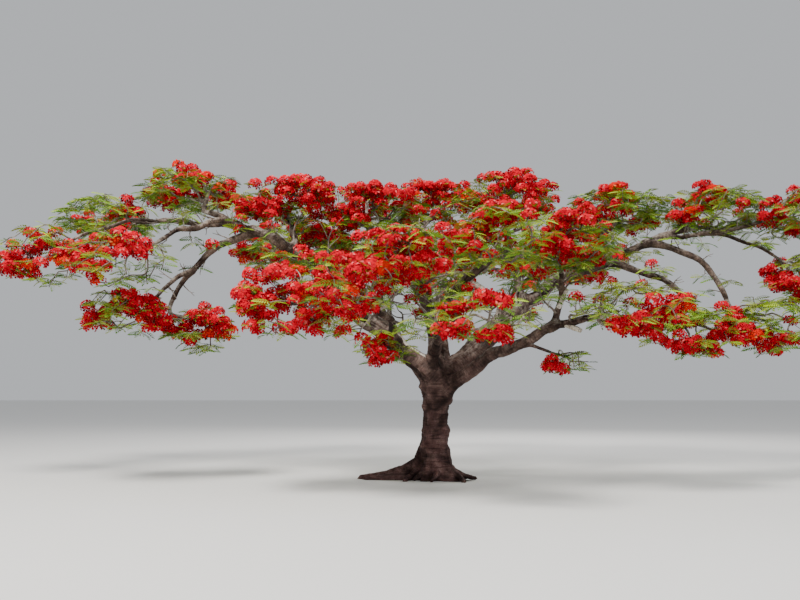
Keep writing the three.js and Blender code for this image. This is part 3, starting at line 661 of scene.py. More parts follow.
spaces = [Space(number, *row) for number, row in enumerate(MASSES)]
limb_points = np.concatenate([limb.points for limb in limbs.values()])
limb_radii = np.concatenate([limb.radii for limb in limbs.values()])


def clear_way(a, b, points, radii):
    """True where the straight way from a to b passes clear of the limb points."""
    way = a + (b - a) * np.linspace(0, 1, 7)[:, None]
    far = np.linalg.norm(way[:, None] - points, axis=-1)
    return bool((far > radii + LIMB_CLEARANCE).all())


def spread(number, k):
    """The even spread of ends: three steps of a fixed share each, taken as height, turn and
    distance out inside a unit ball."""
    i = np.arange(1, 4)
    a, b, c = fract(0.5 + SPREAD_SHIFT * number * i + SPREAD_STEPS * (k[:, None] + 1)).T
    height = 1 - 2 * b
    out = np.cbrt(HOLLOW_SHARE + (1 - HOLLOW_SHARE) * c)
    level = np.sqrt(1 - height * height)
    turn = 2 * np.pi * a
    return np.stack([level * np.cos(turn), level * np.sin(turn), height], -1) * out[:, None]


def choose_ends(space, tip):
    """Numbers and places of a mass's twig ends, nearest to the bough's tip first, and which of them
    flower. The solid's ends come with finer ones, and a ring of more ends round each that flowers.
    Ends near one that flowers do so too, and a share of the others. Where flowers stand in domes,
    those of the solid's that come too near to another don't count, and no others flower."""
    rich = int(space.name in RICH)
    apart = DOMES.get(space.name, 0)
    area = space.half[0] * space.half[1]
    wanted = max(FEWEST_ENDS, int((DOME_ENDS if apart else 1) * ENDS_PER_M2[rich] * math.pi * area))
    coarse = round(math.sqrt(area) / END_SPACING)
    k = np.arange(5 * wanted)
    solid = k < 3 * coarse
    out = np.where(solid, END_REACH, FINE_REACH)
    point = space.middle + spread(space.number, k) * space.half * out[:, None]
    keep = space.holds(point, END_MARGIN)
    first = np.flatnonzero(keep & solid)[:coarse]
    k = np.concatenate([first, np.flatnonzero(keep & ~solid)[: wanted - coarse]])
    point = point[k]
    heads = point[: len(first)][fract(BLOOM_STEP * first + BLOOM_SHIFT * space.number) < space.bloom]
    if apart:
        kept = []
        for head in heads:
            if all(np.linalg.norm(head - other) > apart for other in kept):
                kept.append(head)
        heads = np.array(kept)
    turn = GOLDEN_TURN * np.arange(BUNCH_RING) + heads[:, :1] * 9
    lift = 0.3 * (np.arange(BUNCH_RING) % 3 - 1.0) + 0 * turn
    ring = np.stack([np.cos(turn), np.sin(turn), lift], -1) * BUNCH_WIDTH[rich]
    more = (heads[:, None] + ring * (0.8 if apart else 1)).reshape(-1, 3)
    more = more[space.holds(more, BUNCH_MARGIN, BUNCH_REACH)]
    point = np.concatenate([point, more])
    k = np.concatenate([k, 10000 + np.arange(len(more))])
    away = np.linalg.norm(point[:, None] - heads, axis=-1).min(1)
    in_flower = away < (0.55 * apart if apart else BUNCH_SPAN[rich])
    if not apart:
        in_flower |= hashed(k, 5, space.number, 9) < RICH.get(space.name, PLAIN_SHARE)
    order = np.argsort(np.linalg.norm(point - tip, axis=1), kind="stable")
    return k[order], point[order], in_flower[order]


def grow(space):
    """Twigs of one mass. The ends are taken from the nearest to the farthest, and each joins the
    place on the twigs already grown that makes the shortest way back to the bough's tip, out of the
    six best the first from which the way is clear of limbs."""
    tip, before = limbs[space.name].points[[-1, -2]]
    along = unit(tip - before)
    knee = tip + along * STEM_LENGTH
    near = np.linalg.norm(limb_points - space.middle, axis=1) < space.half.max() + 0.6
    near &= np.linalg.norm(limb_points - knee, axis=1) > 0.12
    places = [tip - along * 0.05, knee]
    parents = [-1, 0]
    ways = [0.0, STEM_LENGTH]
    ends = []
    for number, end, flowering in zip(*choose_ends(space, tip)):
        at = np.array(places[1:])
        step = np.linalg.norm(at - end, axis=1)
        way = step + WAY_SHARE * np.array(ways[1:])
        for best in np.argsort(way, kind="stable")[:6]:
            if step[best] < 0.04 or clear_way(at[best], end, limb_points[near], limb_radii[near]):
                break
        else:
            continue
        count = max(1, int(step[best] / JOINT_STEP))
        share = np.arange(1, count + 1) / count
        path = at[best] + (end - at[best]) * share[:, None]
        fade = np.sin(np.pi * share)[:, None] ** 0.6 * min(step[best], 0.7)
        bend = stray(path * 4.3 + int(number), 17.0, 5)
        path = path + CROOKED * fade * bend + np.array([0, 0, 0.05]) * fade
        parent, reached = best + 1, ways[best + 1]
        for spot in path:
            places.append(spot)
            parents.append(parent)
            reached += step[best] / count
            ways.append(reached)
            parent = len(places) - 1
        ends.append((parent, int(number), bool(flowering)))
    return np.array(places), np.array(parents), ends


def twig_radii(parents, ends, tip_radius):
    """Each twig's radius from what it carries: the powers of the radii above a fork add up to that
    of the one below it, with the power that makes the stem as thick as its bough's tip."""
    load = np.zeros(len(parents))
    for end, _, _ in ends:
        load[end] += 1
    for i in range(len(parents) - 1, 0, -1):
        load[parents[i]] += load[i]
    load = np.maximum(load, 1)
    power = math.log(max(load[1], 3)) / math.log(max(0.92 * tip_radius / TIP_RADIUS, 1.5))
    return TIP_RADIUS * load ** (1 / power), load


def smooth_path(path):
    """One point added halfway along each step, on the curve through four neighbours."""
    if len(path) < 3:
        return path
    ends = np.concatenate([[2 * path[0] - path[1]], path, [2 * path[-1] - path[-2]]])
    out = np.empty((2 * len(path) - 1, path.shape[1]))
    out[::2], out[1::2] = path, (9 * (ends[1:-2] + ends[2:-1]) - ends[:-3] - ends[3:]) / 16
    return out


def twig_chains(places, parents, radii, load):
    """Splits the twigs into runs, each following the heaviest child, and makes each run a tube."""
    children = [[] for _ in places]
    for i in range(1, len(places)):
        children[parents[i]].append(i)
    tubes, starts = [], [(None, 0)]
    while starts:
        below, i = starts.pop()
        run = [i] if below is None else [below, i]
        while children[i]:
            heavy = max(children[i], key=lambda c: load[c])
            starts.extend((i, c) for c in children[i] if c != heavy)
            i = heavy
            run.append(i)
        if len(run) < 2:
            continue
        thick = radii[run].copy()
        if below is not None:
            thick[0] = min(thick[0], 1.25 * thick[1])
        line = smooth_path(np.column_stack([places[run], thick]))
        sides = 6 if thick[0] > 0.016 else 4 if thick[0] > 0.009 else 3
        tubes.append(tube(line[:, :3], line[:, 3], sides))
    return tubes


def turned(forward, roll):
    """Side and up vectors of a leaf or flower that points forward and is rolled about that way."""
    level = unit(np.cross([0, 0, 1.0], forward) + [1e-6, 0, 0])
    up = np.cross(forward, level)
    c, s = np.cos(roll)[:, None], np.sin(roll)[:, None]
    return level * c + up * s, up * c - level * s


def copied(verts, faces):
    """Many copies of one shape, a row of points for each, as one list of points and triangles."""
    shift = verts.shape[1] * np.arange(len(verts))[:, None, None]
    return verts.reshape(-1, 3), (faces[None] + shift).reshape(-1, 3)


PAIRS = 7  # pairs of pinnae on a leaf
PINNA_HALF, RIB_HALF = 0.052, 0.011  # half widths against the leaf's length


def leaf_mesh(root, forward, roll, length, droop):
    """Feathery leaves, and the number of triangles of one. The midrib leaves the twig along its
    forward way and sinks by droop times the square of the share of its length. Pairs of narrow
    pinnae stand off it, first steeply and towards its tip more forward, each a folded kite."""
    side, up = turned(forward, roll)
    droop = droop[:, None]

    def spine(s):
        """How far ahead and up the midrib is at a share of its length."""
        return s * (1 - 0.3 * droop * s), -droop * s * s

    def place(x, y, z):
        """Points ahead, aside and up in the leaf, laid into the tree."""
        local = x[..., None] * forward[:, None] + y[..., None] * side[:, None] + z[..., None] * up[:, None]
        return root[:, None] + local * length[:, None, None]

    share = np.linspace(0.16, 0.96, PAIRS)
    profile = 0.38 * np.sin(np.pi * (0.2 + 0.72 * share)) ** 0.7
    steep = np.radians(74 - 38 * share)
    s = np.concatenate([share, share, [1.0]])
    hand = np.repeat([1.0, -1.0, 0.0], [PAIRS, PAIRS, 1])
    reach = np.concatenate([profile, profile, [0.2]])
    turn = np.concatenate([steep, steep, [0.0]])
    x, z = spine(s)
    level = 0 * x
    ahead, aside = np.cos(turn) * reach, hand * np.sin(turn) * reach
    sag = 0.14 * reach + droop * s * ahead * 1.6
    low = z - 0.42 * sag - 0.35 * PINNA_HALF
    over, across = -hand * np.sin(turn) * PINNA_HALF, np.cos(turn) * PINNA_HALF
    left = place(x + 0.5 * ahead + over, level + 0.5 * aside + across, low)
    right = place(x + 0.5 * ahead - over, level + 0.5 * aside - across, low)
    tip = place(x + ahead, level + aside, z - sag)
    kites = np.stack([place(x, level, z), left, tip, right], 2)
    corner = 4 * np.arange(len(s))[:, None]

    ribs = np.array([0.0, 0.5, 1.0])
    x, z = spine(ribs)
    wide = RIB_HALF * (1.1 - ribs) + 0 * x
    rib = np.stack([place(x, wide, z), place(x, -wide, z)], 2)
    strip = np.array([[0, 1, 3], [0, 3, 2], [2, 3, 5], [2, 5, 4]]) + 4 * len(s)
    verts = np.concatenate([kites.reshape(len(root), -1, 3), rib.reshape(len(root), -1, 3)], 1)
    faces = np.concatenate([corner + [0, 2, 1], corner + [0, 3, 2], strip])
    return (*copied(verts, faces), len(faces))


# A petal: along it, to its side, up
PETAL = np.array([(0, 0, 0), (0.7, 0.36, 0.1), (0.7, -0.36, 0.1), (1, 0, -0.03), (0.56, 0, 0.24)])
PETAL_FACES = np.array([[0, 4, 1], [0, 2, 4], [1, 4, 3], [2, 3, 4]])
FIRST_PETAL = (1.12, 0.8, 1.4)  # its size against the others'
STALK_RADIUS = 0.0022
RED, ORANGE, STREAK_AND_GLINT, STALK, SHADED_CRIMSON, ORANGE_STREAK_AND_GLINT = range(6)


def flower_mesh(root, forward, roll, size, stalk_from):
    """Flowers that face forward, and the kinds of one's triangles: five spoon-shaped petals a fifth
    of a turn apart, cupped and bent back at their tips, the first of them larger and streaked, its
    pale tone partly the real streak and partly a painted glint, three long stamens, and a
    three-sided stalk back to the twig."""
    side, up = turned(forward, roll)
    size = size[:, None]

    def aside(turn):
        """The way out from the flower's axis at a turn about it."""
        return side * math.cos(turn) + up * math.sin(turn)

    parts, faces, kinds = [], [], []
    for i in range(5):
        turn = 2 * math.pi * i / 5
        ways = np.stack([aside(turn), aside(turn + math.pi / 2), forward], 1)
        shape = PETAL * (1 if i else FIRST_PETAL)
        parts.append(root[:, None] + shape @ ways * size[:, None])
        faces.append(PETAL_FACES + i * len(PETAL))
        kinds += [RED if i else STREAK_AND_GLINT] * len(PETAL_FACES)
    count = 5 * len(PETAL)
    for i in range(3):
        lean = unit(forward + 0.45 * aside(2 * math.pi * (i + 0.4) / 3))
        foot = np.cross(lean, forward) * size * 0.0264
        parts.append(np.stack([root + foot, root - foot, root + lean * size * 0.95], 1))
        faces.append(np.array([[0, 1, 2]]) + count + 3 * i)
    ring = [root + STALK_RADIUS * aside(turn) for turn in (0, 2.094, 4.189)]
    parts.append(np.stack([*ring, stalk_from], 1))
    faces.append(np.array([[0, 3, 1], [1, 3, 2], [2, 3, 0]]) + count + 9)
    kinds += [RED] * 3 + [STALK] * 3
    return (*copied(np.concatenate(parts, 1), np.concatenate(faces)), np.array(kinds))


def pointing(turn, rise):
    """Unit vectors from bearings and rises, in radians."""
    return np.stack([np.cos(turn) * np.cos(rise), np.sin(turn) * np.cos(rise), np.sin(rise)], -1)


def kept_inside(space, root, forward, length):
    """Lengths cut down so that no tip lies outside the mass's space."""
    q = (root - space.middle) / space.half
    d = forward * length[:, None] / space.half
    qd, dd, qq = (q * d).sum(1), (d * d).sum(1), (q * q).sum(1)
    reach = (-qd + np.sqrt(np.maximum(qd * qd - dd * (qq - LEAF_LIMIT**2), 0))) / dd
    return length * np.clip(reach, 0, 1)


def leaf_rows(at, below, azimuth, count, rng, key):
    """Leaves round the last stretch of a twig, a golden turn apart, the first ones rising most."""
    i = np.arange(count)
    root = at + (below - at) * (0.1 + 0.8 * i / count)[:, None]
    turn = azimuth + GOLDEN_TURN * i + rng.uniform(-0.3, 0.3, count)
    rise = 0.26 - 0.36 * i / count + rng.uniform(-0.14, 0.14, count)
    roll = rng.uniform(-0.6, 0.6, count)
    length = rng.uniform(*LEAF_LENGTH, count)
    droop = rng.uniform(*LEAF_DROOP, count)
    return np.column_stack([root, turn, rise, roll, length, droop, np.full(count, key)])


def flower_rows(at, way, azimuth, count, rng, tone):
    """A rounded head of flowers, evenly over a ball from its top to a little below its middle.
    Those facing down are a darker crimson: painted shade.
    """
    i = np.arange(count)
    lift = 1 - 1.3 * (i + 0.5) / count
    level = np.sqrt(1 - lift * lift)
    turn = GOLDEN_TURN * i + azimuth
    facing = np.stack([level * np.cos(turn), level * np.sin(turn), lift], -1) + 0.2 * way
    facing = unit(facing + rng.uniform(-0.16, 0.16, (count, 3)))
    centre = at + facing * rng.uniform(*HEAD_RADIUS, count)[:, None] * [1, 1, 0.85]
    size = rng.uniform(*FLOWER_SIZE, count)
    # Flowers on the head's underside turn crimson: painted shade
    shade = np.where((lift < 0.05) & (tone == RED), SHADED_CRIMSON, tone)
    roll = rng.uniform(0, 6.28, count)
    return np.column_stack([centre, facing, np.tile(at, (count, 1)), roll, size, shade])


def crooked(start, way, length, radius):
    """A crooked shoot's middle line and radii: even steps whose way strays by noise and rises, the
    radius falling evenly to less than the twigs' own."""
    count = max(4, int(length / 0.07))
    share = np.arange(1, count + 1)[:, None] / count
    ways = unit(way + 1.1 * stray((start + way * length * share) * 5.3, 31.0, 60) + [0, 0, 0.2])
    line = np.concatenate([[start], start + np.cumsum(ways * length / count, axis=0)])
    return line, np.linspace(radius, 0.6 * TIP_RADIUS, count + 1)


def side_shoots(limb, rng):
    """Shoots along a bough, turned by the golden turn from one to the next about it, longer over the
    trunk than at the crown's rim. Each has twiglets, and a tuft of leaves or a head at its ends."""
    run = length_along(limb.points)
    along, side, up = frames_along(limb.points)
    tubes, leaves, flowers = [], [], []
    for i, far in enumerate(np.arange(SHOOT_START * run[-1], run[-1], SHOOT_STEP)):
        row = int(np.searchsorted(run, far)) - 1
        at = limb.points[row]
        if at[2] < SHOOT_HEIGHT:
            continue
        inner = math.exp(-((at[0] / SHOOT_REGION[0]) ** 4) - ((at[1] / SHOOT_REGION[1]) ** 4))
        turn = GOLDEN_TURN * i + limb.number
        out = side[row] * math.cos(turn) + up[row] * math.sin(turn)
        way = unit(0.8 * out + 0.5 * along[row] + np.array([0, 0, 0.25]))
        length = SHOOT_LENGTH + SHOOT_MORE * inner * rng.uniform(0.5, 1) * (1 if at[2] < 4.5 else 0.5)
        radius = min(SHOOT_RADIUS * (0.8 + 1.2 * inner), 0.5 * limb.radii[row])
        line, thick = crooked(at, way, length + limb.radii[row], radius)
        tubes.append(tube(line, thick, 5))
        ends = [(line[-1], line[-2])]
        for j in range(1, 2 + int(2.5 * inner)):
            place = int(len(line) * (0.25 + 0.2 * j))
            aside = unit(np.cross(way, [0.3, 0.2, 1]) * (-1) ** j + 0.6 * way)
            branch, thin = crooked(line[place], aside, 0.45 * length, thick[place])
            tubes.append(tube(branch, thin, 3))
            ends.append((branch[-1], branch[-2]))
        for j, (end, below) in enumerate(ends):
            lot = hashed(i, j, limb.number, 13)
            if lot > 0.3 + 0.65 * inner:
                continue
            azimuth = math.atan2(*(end - below)[1::-1])
            if lot < 0.03 + 0.35 * inner:
                flowers.append(flower_rows(end, unit(end - below), azimuth, SHOOT_FLOWERS, rng, RED))
            rows = leaf_rows(end, below, azimuth, rng.integers(*SHOOT_LEAVES), rng, 500 + 7 * i + j)
            # Deeper tones for leaves inside the crown: painted shade
            leaves.append(np.column_stack([rows, np.full(len(rows), SHOOT_SHADE)]))
    return tubes, leaves, flowers


def dress(space, rng):
    """All twigs, leaves and flowers of one mass, as arrays. A leaf's last value is how deep in the
    mass it stands, which moves it towards the deeper tones as painted shade. A flower's way out is
    that of its twig, turned a little out of the mass."""
    places, parents, ends = grow(space)
    radii, load = twig_radii(parents, ends, limbs[space.name].radii[-1])
    tubes = twig_chains(places, parents, radii, load)
    leaves, flowers = [], []
    rich = space.name in RICH and space.name not in LEAFY
    for end, k, in_flower in ends:
        at, below = places[end], places[parents[end]]
        way = unit(unit(at - below) + 0.5 * unit((at - space.middle) / space.half))
        azimuth = math.atan2(way[1], way[0])
        habit = 0 if in_flower else 1 + rich + 2 * (space.name in DOMES)
        leaves.append(leaf_rows(at, below, azimuth, rng.integers(*LEAVES_AT_END[habit]), rng, k))
        if in_flower:
            tone = ORANGE if hashed(k, 7, space.number, 4) < ORANGE_SHARE else RED
            flowers.append(flower_rows(at, way, azimuth, rng.integers(*HEAD_FLOWERS), rng, tone))
    leaves, flowers = np.concatenate(leaves), np.concatenate(flowers)
    forward = pointing(leaves[:, 3], leaves[:, 4])
    leaves[:, 6] = kept_inside(space, leaves[:, :3], forward, leaves[:, 6])
    # The lower a leaf stands in its mass, the deeper its green: painted shade
    sunk = 0.5 - 0.5 * (leaves[:, 2] - space.middle[2]) / space.half[2]
    leaves = np.column_stack([leaves, sunk])[leaves[:, 6] > SHORTEST_LEAF]
    inside = np.linalg.norm((flowers[:, :3] - space.middle) / space.half, axis=1) < LEAF_LIMIT
    return tubes, [leaves], [flowers[inside]]


def stub(name, place, way, length, radius):
    """A cut branch: a short limb whose end is sawn off square, with a slightly sunken face."""
    start = limbs[name].points[int(place * (LINE_POINTS - 1))]
    way = unit(np.array(way))
    share = np.linspace(0, 1, 14)[:, None]
    line = start + way * (length * share) + 0.012 * noise(share * [5, 3, 2] + start, 3)[:, None]
    thick = radius * (1.25 - 0.3 * share[:, 0])
    line = np.concatenate([line, line[-1:] - way * 0.002, line[-1:] - way * 0.006])
    return tube(line, np.append(thick, [0.75 * thick[-1], 0.3 * thick[-1]]), 20)


# Materials


def wire(tree, node, **inputs):
    """Fills a node's inputs by name: a socket is linked to them, anything else is their value."""
    for name, value in inputs.items():
        socket = node.inputs[name.replace("_", " ")]
        if isinstance(value, bpy.types.NodeSocket):
            tree.links.new(value, socket)
        else:
            socket.default_value = value


def new_material(name, base, roughness, **sockets):
    """A material whose shader holds the plain values, with its node tree and shader returned."""
    material = bpy.data.materials.new(name)
    material.use_nodes = True
    tree = material.node_tree
    shader = tree.nodes["Principled BSDF"]
    wire(tree, shader, Base_Color=(*base, 1), Roughness=roughness, **sockets)
    return material, tree, shader


def add_bump(tree, shader, height, strength, distance, **before):
    """A bump on the shader from a height socket, over the normal of an earlier bump if given."""
    bump = tree.nodes.new("ShaderNodeBump")
    wire(tree, bump, Height=height, Strength=strength, Distance=distance, **before)
    tree.links.new(bump.outputs["Normal"], shader.inputs["Normal"])
    return bump.outputs["Normal"]


def noise_node(tree, vector, scale, detail, roughness=0.55, distortion=0.0):
    """Smooth noise over a vector."""
    node = tree.nodes.new("ShaderNodeTexNoise")
    wire(tree, node, Vector=vector, Scale=scale, Detail=detail, Roughness=roughness, Distortion=distortion)
    return node.outputs["Fac"]


def ramp_node(tree, value, stops):
    """The colour at a value, blended evenly from stop to stop."""
    node = tree.nodes.new("ShaderNodeValToRGB")
    ramp = node.color_ramp
    ramp.elements[0].position, ramp.elements[1].position = stops[0][0], stops[-1][0]
    ramp.elements[0].color = (*stops[0][1], 1)
    ramp.elements[1].color = (*stops[-1][1], 1)
    for place, colour in stops[1:-1]:
        ramp.elements.new(place).color = (*colour, 1)
    wire(tree, node, Fac=value)
    return node.outputs["Color"]


def mixed(tree, kind, share, a, b):
    """Two colours mixed or multiplied, by a share that is a number or a socket."""
    node = tree.nodes.new("ShaderNodeMix")
    node.data_type = "RGBA"
    node.blend_type = kind
    wire(tree, node, Factor=share, A=a, B=b)
    return node.outputs["Result"]


def factor_of(tree, value, low, high):
    """A share from 0 to 1 of where a value lies between two others."""
    node = tree.nodes.new("ShaderNodeMapRange")
    wire(tree, node, Value=value, From_Min=low, From_Max=high)
    return node.outputs["Result"]


def product(tree, a, b):
    """The product of two sockets."""
    node = tree.nodes.new("ShaderNodeMath")
    node.operation = "MULTIPLY"
    tree.links.new(a, node.inputs[0])
    tree.links.new(b, node.inputs[1])
    return node.outputs["Value"]


def attribute_of(tree, name):
    """One of the bark's attributes."""
    node = tree.nodes.new("ShaderNodeAttribute")
    node.attribute_name = name
    return node.outputs["Fac"]


def upward(tree, vector):
    """The upward part of a vector."""
    node = tree.nodes.new("ShaderNodeSeparateXYZ")
    wire(tree, node, Vector=vector)
    return node.outputs["Z"]


# Tones at places on a ramp, by which the bark is multiplied
# The first ramp is painted shade in the relief's hollows and a painted highlight on its ridges
HOLLOW_SHADE_STOPS = [
    (0.12, (0.3, 0.26, 0.25)),
    (0.36, (0.72, 0.7, 0.69)),
    (0.5, (1, 1, 1)),
    (0.8, (1.5, 1.47, 1.45)),
]
RING_STOPS = [(0.36, (0.42, 0.38, 0.36)), (0.5, (1, 1, 1)), (0.66, (1.3, 1.28, 1.26))]
SPECK_STOPS = [(0.35, (0.62, 0.6, 0.58)), (0.62, (1.15, 1.15, 1.15))]
# Tones of the pale patches on the tops, partly growth and partly painted sunlight, and of bare wood, made
# paler still as painted sunlight
GROWTH_AND_SUNLIT_STOPS = [(0.3, (0.2, 0.165, 0.14)), (0.7, (0.44, 0.39, 0.34))]
WOOD_AND_SUNLIT_STOPS = [(0.34, (0.34, 0.28, 0.22)), (0.56, (0.86, 0.8, 0.7))]
# Dark, middle and pale blotches
BLOTCHES = (0.34, 0.52, 0.68)
TRUNK_TONES = ((0.032, 0.014, 0.013), (0.082, 0.043, 0.04), (0.16, 0.098, 0.088))
BOUGH_TONES = ((0.042, 0.025, 0.019), (0.1, 0.07, 0.055), (0.2, 0.155, 0.125))
TWIG_TONES = ((0.07, 0.05, 0.04), (0.24, 0.2, 0.17), (0.5, 0.45, 0.4))
# The stubs' cut wood is pale, and made paler still as painted sunlight
STUB_AND_SUNLIT_TONES = ((0.36, 0.3, 0.24), (0.68, 0.62, 0.52), (0.88, 0.83, 0.74))
# The second band is where the pale tops, partly growth and partly painted sunlight, come in
BOUGH_HEIGHT, GROWTH_AND_SUNLIT_HEIGHT = (1.2, 3.4), (1.95, 2.8)  # over which they come in, in metres


def bark_material(name, low_tones, high_tones, limb=False):
    """Bark: blotches of three tones that turn from the low to the high ones with height, fine rings
    across and specks, both of them bump too. A limb's has painted shade in the hollows of the
    relief and a painted highlight on its ridges, pale patches on what faces up, partly growth and
    partly painted sunlight on the tops, and bare wood where it is torn, made paler still as painted
    sunlight."""
    material, tree, shader = new_material(name, low_tones[1], 0.86, Specular_IOR_Level=0.2)
    place = tree.nodes.new("ShaderNodeTexCoord").outputs["Object"]
    blotches = noise_node(tree, place, 4.5, 7, 0.66)
    low, high = (ramp_node(tree, blotches, list(zip(BLOTCHES, t))) for t in (low_tones, high_tones))
    height = upward(tree, place)
    colour = mixed(tree, "MIX", factor_of(tree, height, *BOUGH_HEIGHT), low, high)

    along = tree.nodes.new("ShaderNodeUVMap")
    along.uv_map = "along_bark"
    squeezed = tree.nodes.new("ShaderNodeMapping")
    wire(tree, squeezed, Vector=along.outputs["UV"], Scale=(5, 34, 1))
    rings = noise_node(tree, squeezed.outputs["Vector"], 1.0, 6, 0.62, 0.6)
    colour = mixed(tree, "MULTIPLY", 0.85, colour, ramp_node(tree, rings, RING_STOPS))
    specks = noise_node(tree, place, 48, 5, 0.7)
    colour = mixed(tree, "MULTIPLY", 0.75, colour, ramp_node(tree, specks, SPECK_STOPS))

    if limb:
        # Painted shade in the hollows of the relief, and a painted highlight on its ridges
        raised = factor_of(tree, attribute_of(tree, "relief"), -2, 2)
        colour = mixed(tree, "MULTIPLY", 1.0, colour, ramp_node(tree, raised, HOLLOW_SHADE_STOPS))
        # Pale patches on what faces up: partly growth, partly painted sunlight on the tops
        facing = upward(tree, tree.nodes.new("ShaderNodeNewGeometry").outputs["Normal"])
        patches = factor_of(tree, noise_node(tree, place, 9, 6, 0.7), 0.44, 0.62)
        growth_and_sunlit_tops = product(tree, factor_of(tree, facing, 0.0, 0.8), patches)
        growth_and_sunlit_tops = product(tree, growth_and_sunlit_tops, factor_of(tree, height, *GROWTH_AND_SUNLIT_HEIGHT))
        colour = mixed(tree, "MIX", growth_and_sunlit_tops, colour, ramp_node(tree, specks, GROWTH_AND_SUNLIT_STOPS))
        # Bare wood where the bough is torn, made paler still as painted sunlight
        wood = ramp_node(tree, rings, WOOD_AND_SUNLIT_STOPS)
        colour = mixed(tree, "MIX", attribute_of(tree, "bare"), colour, wood)
    tree.links.new(colour, shader.inputs["Base Color"])
    first = add_bump(tree, shader, rings, 0.8, 0.009)
    add_bump(tree, shader, specks, 0.6, 0.004, Normal=first)
    return material


def crinkled(name, colour, roughness, gloss, fineness, detail, strength):
    """A leaf or a petal: one plain tone, with fine ridges as bump."""
    material, tree, shader = new_material(name, colour, roughness, Specular_IOR_Level=gloss)
    place = tree.nodes.new("ShaderNodeTexCoord").outputs["Object"]
    add_bump(tree, shader, noise_node(tree, place, fineness, detail), strength, 0.002)
    return material


LEAF_FINISH, PETAL_FINISH = (0.65, 0.1, 220, 2, 0.35), (0.8, 0.03, 160, 3, 0.4)
# From light to deep; the lower leaves in a mass are dealt the deeper ones as painted shade
LEAF_TONES = {
    "leaf_lime": (0.42, 0.56, 0.035),
    "leaf_fresh": (0.32, 0.47, 0.03),
    "leaf_olive": (0.28, 0.34, 0.045),
    "leaf_green": (0.17, 0.32, 0.025),
    "leaf_deep": (0.085, 0.18, 0.018),
}
# In the order of the flowers' kinds
PETAL_TONES = {
    "petal_scarlet": (0.57, 0.003, 0.018),
    "petal_orange": (0.62, 0.013, 0.004),
    # Pale streaked petal: partly the real streak, partly a painted glint
    "petal_streak_and_glint": (0.74, 0.12, 0.12),
    "flower_stalk": (0.12, 0.13, 0.03),
    # Crimson for the undersides of heads: painted shade
    "petal_shaded_crimson": (0.36, 0.002, 0.012),
    # The same on orange heads: partly the real streak, partly a painted glint
    "petal_orange_streak_and_glint": (0.8, 0.2, 0.06),
}
limb_bark = bark_material("limb_bark", TRUNK_TONES, BOUGH_TONES, limb=True)
twig_bark = bark_material("twig_bark", TWIG_TONES, TWIG_TONES)
sunlit_stub_wood = bark_material("sunlit_stub_wood", STUB_AND_SUNLIT_TONES, STUB_AND_SUNLIT_TONES)
leaf_tones = [crinkled(name, colour, *LEAF_FINISH) for name, colour in LEAF_TONES.items()]
petal_tones = [crinkled(name, colour, *PETAL_FINISH) for name, colour in PETAL_TONES.items()]

# Trunk and boughs
skins = join([trunk_skin(), *[root_skin(*row) for row in ROOTS]])
trunk = piece_from("trunk_skin", [limb_bark], *skins)
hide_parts("trunk")

carried = {"boughs_left": [], "boughs_right": [], "boughs_back": []}
boughs = [limb for limb in limbs.values() if limb.name != "trunk"]
for limb in boughs:
    x, y = limb.points[-1, :2]
    carried["boughs_back" if y > 1.9 else "boughs_left" if x < 0.5 else "boughs_right"].append(limb)
for group, held in carried.items():
    piece = piece_from(group, [limb_bark], *join([bough_skin(limb) for limb in held]))
    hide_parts(*[f"bough_{limb.name}" for limb in held])

stubs = piece_from("cut_stubs", [sunlit_stub_wood], *join([stub(*row) for row in STUBS]))
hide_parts(*{f"bough_{row[0]}" for row in STUBS})

# Crown
SECTORS = {
    "left": lambda m: m[0] < -3.5 and m[1] < 3,
    "mid_left": lambda m: -3.5 <= m[0] < 0.1 and m[1] < 3,
    "mid_right": lambda m: 0.1 <= m[0] < 3.5 and m[1] < 3.2,
    "right": lambda m: m[0] >= 3.5 and m[1] < 3,
    "back": lambda m: m[1] >= 3,
}
sector_of = {s.name: next(n for n, test in SECTORS.items() if test(s.middle)) for s in spaces}
grown = {name: ([], [], []) for name in SECTORS}
rng = np.random.default_rng(20)
for make, bearers in ((dress, spaces), (side_shoots, boughs)):
    for bearer in bearers:
        for held, new in zip(grown[sector_of[bearer.name]], make(bearer, rng)):
            held.extend(new)

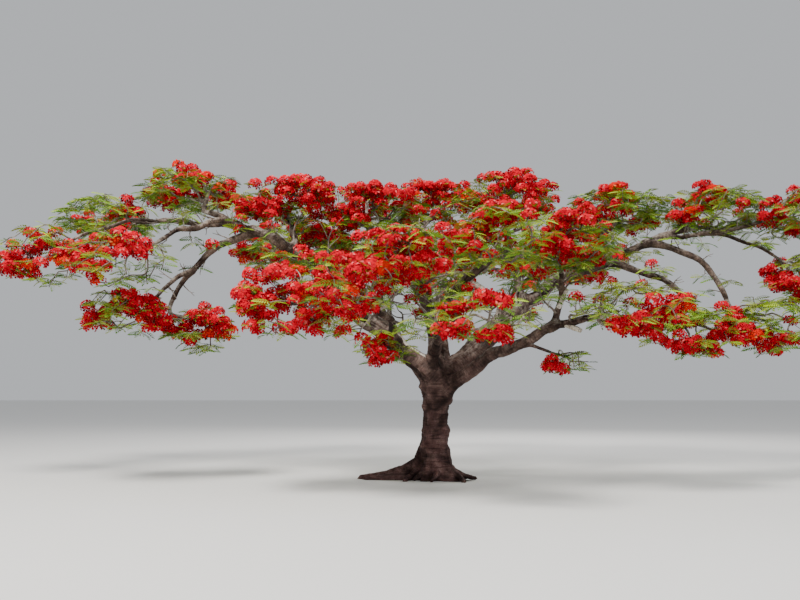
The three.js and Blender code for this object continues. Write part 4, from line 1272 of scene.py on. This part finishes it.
for sector, (tubes, leaves, flowers) in grown.items():
    nodes = [f"mass_{s.name}" for s in spaces if sector_of[s.name] == sector]
    piece = piece_from(f"twigs_{sector}", [twig_bark], *join(tubes))
    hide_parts(*nodes)

    table = np.concatenate(leaves)
    turn, rise, roll, length, droop, k, sunk = table[:, 3:].T
    verts, faces, per = leaf_mesh(table[:, :3], pointing(turn, rise), roll, length, droop)
    # Tones dealt by spray, moved towards the deep greens the lower a leaf stands in its mass: painted
    # shade
    spray = hashed(k.astype(np.int64), np.arange(len(k)) // 3, 1, 3)
    tone = (np.clip(0.72 * spray + 0.4 * sunk, 0, 0.999) * len(leaf_tones)).astype(int)
    slots = np.repeat(tone, per)
    piece = piece_from(f"leaves_{sector}", leaf_tones, verts, faces, slots=slots, smooth=False)
    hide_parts(*nodes)

    table = np.concatenate(flowers)
    centre, facing, at = table[:, :3], table[:, 3:6], table[:, 6:9]
    roll, size, tone = table[:, 9:].T
    verts, faces, kinds = flower_mesh(centre, facing, roll, size, at)
    tone = tone[:, None]
    # A share of flowers keep the pale streaked petal, partly the real streak and partly a painted glint
    plain = hashed(np.arange(len(table)), 1, 2, 6)[:, None] < PLAIN_PETALS
    kind = np.where((kinds == RED) | ((kinds == STREAK_AND_GLINT) & plain), tone, kinds)
    kind = np.where((tone == ORANGE) & (kind == STREAK_AND_GLINT), ORANGE_STREAK_AND_GLINT, kind)
    kind = np.where((tone == SHADED_CRIMSON) & (kind == STREAK_AND_GLINT), RED, kind)
    piece = piece_from(f"flowers_{sector}", petal_tones, verts, faces, slots=kind.ravel())
    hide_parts(*nodes)

# Floor, light and camera
corners = [(-150, -150), (150, -150), (150, 150), (-150, 150)]
floor_mesh = bpy.data.meshes.new("floor")
floor_mesh.from_pydata([(x, y, -0.002) for x, y in corners], [], [(0, 1, 2, 3)])
floor_material, _, _ = new_material("floor", (0.78, 0.77, 0.75), 0.9)
floor_mesh.materials.append(floor_material)
floor = bpy.data.objects.new("floor", floor_mesh)
bpy.context.collection.objects.link(floor)

world = bpy.data.worlds.new("studio")
bpy.context.scene.world = world
world.use_nodes = True
world.node_tree.nodes["Background"].inputs["Color"].default_value = (0.9, 0.93, 0.97, 1)
world.node_tree.nodes["Background"].inputs["Strength"].default_value = 0.6


def soft_light(name, place, target, size, power, colour):
    """A large square light that faces its target."""
    lamp = bpy.data.lights.new(name, "AREA")
    lamp.size = size
    lamp.energy = power
    lamp.color = colour
    light = bpy.data.objects.new(name, lamp)
    light.location = place
    way = np.array(target, float) - np.array(place, float)
    flat = math.hypot(way[0], way[1])
    light.rotation_euler = (math.atan2(flat, -way[2]), 0, math.atan2(way[1], way[0]) - math.pi / 2)
    bpy.context.collection.objects.link(light)


soft_light("key", (-7, -12, 19), (0, 0, 3.5), 6, 7000, (1, 0.97, 0.92))
soft_light("fill", (14, -10, 9), (0, 0, 3), 12, 1100, (0.94, 0.97, 1))
soft_light("back", (4, 15, 14), (0, 0, 4), 10, 2000, (1, 0.98, 0.95))

camera_data = bpy.data.cameras.new("camera")
camera_data.lens = 40.5
camera_data.sensor_width = 36
camera_data.clip_end = 400
camera = bpy.data.objects.new("camera", camera_data)
camera.location = (-0.6215, -16.7, 1.6)
camera.rotation_euler = (math.pi / 2 + math.atan2(91.6, 900), 0, 0)
bpy.context.collection.objects.link(camera)
bpy.context.scene.camera = camera

bpy.context.view_layer.update()
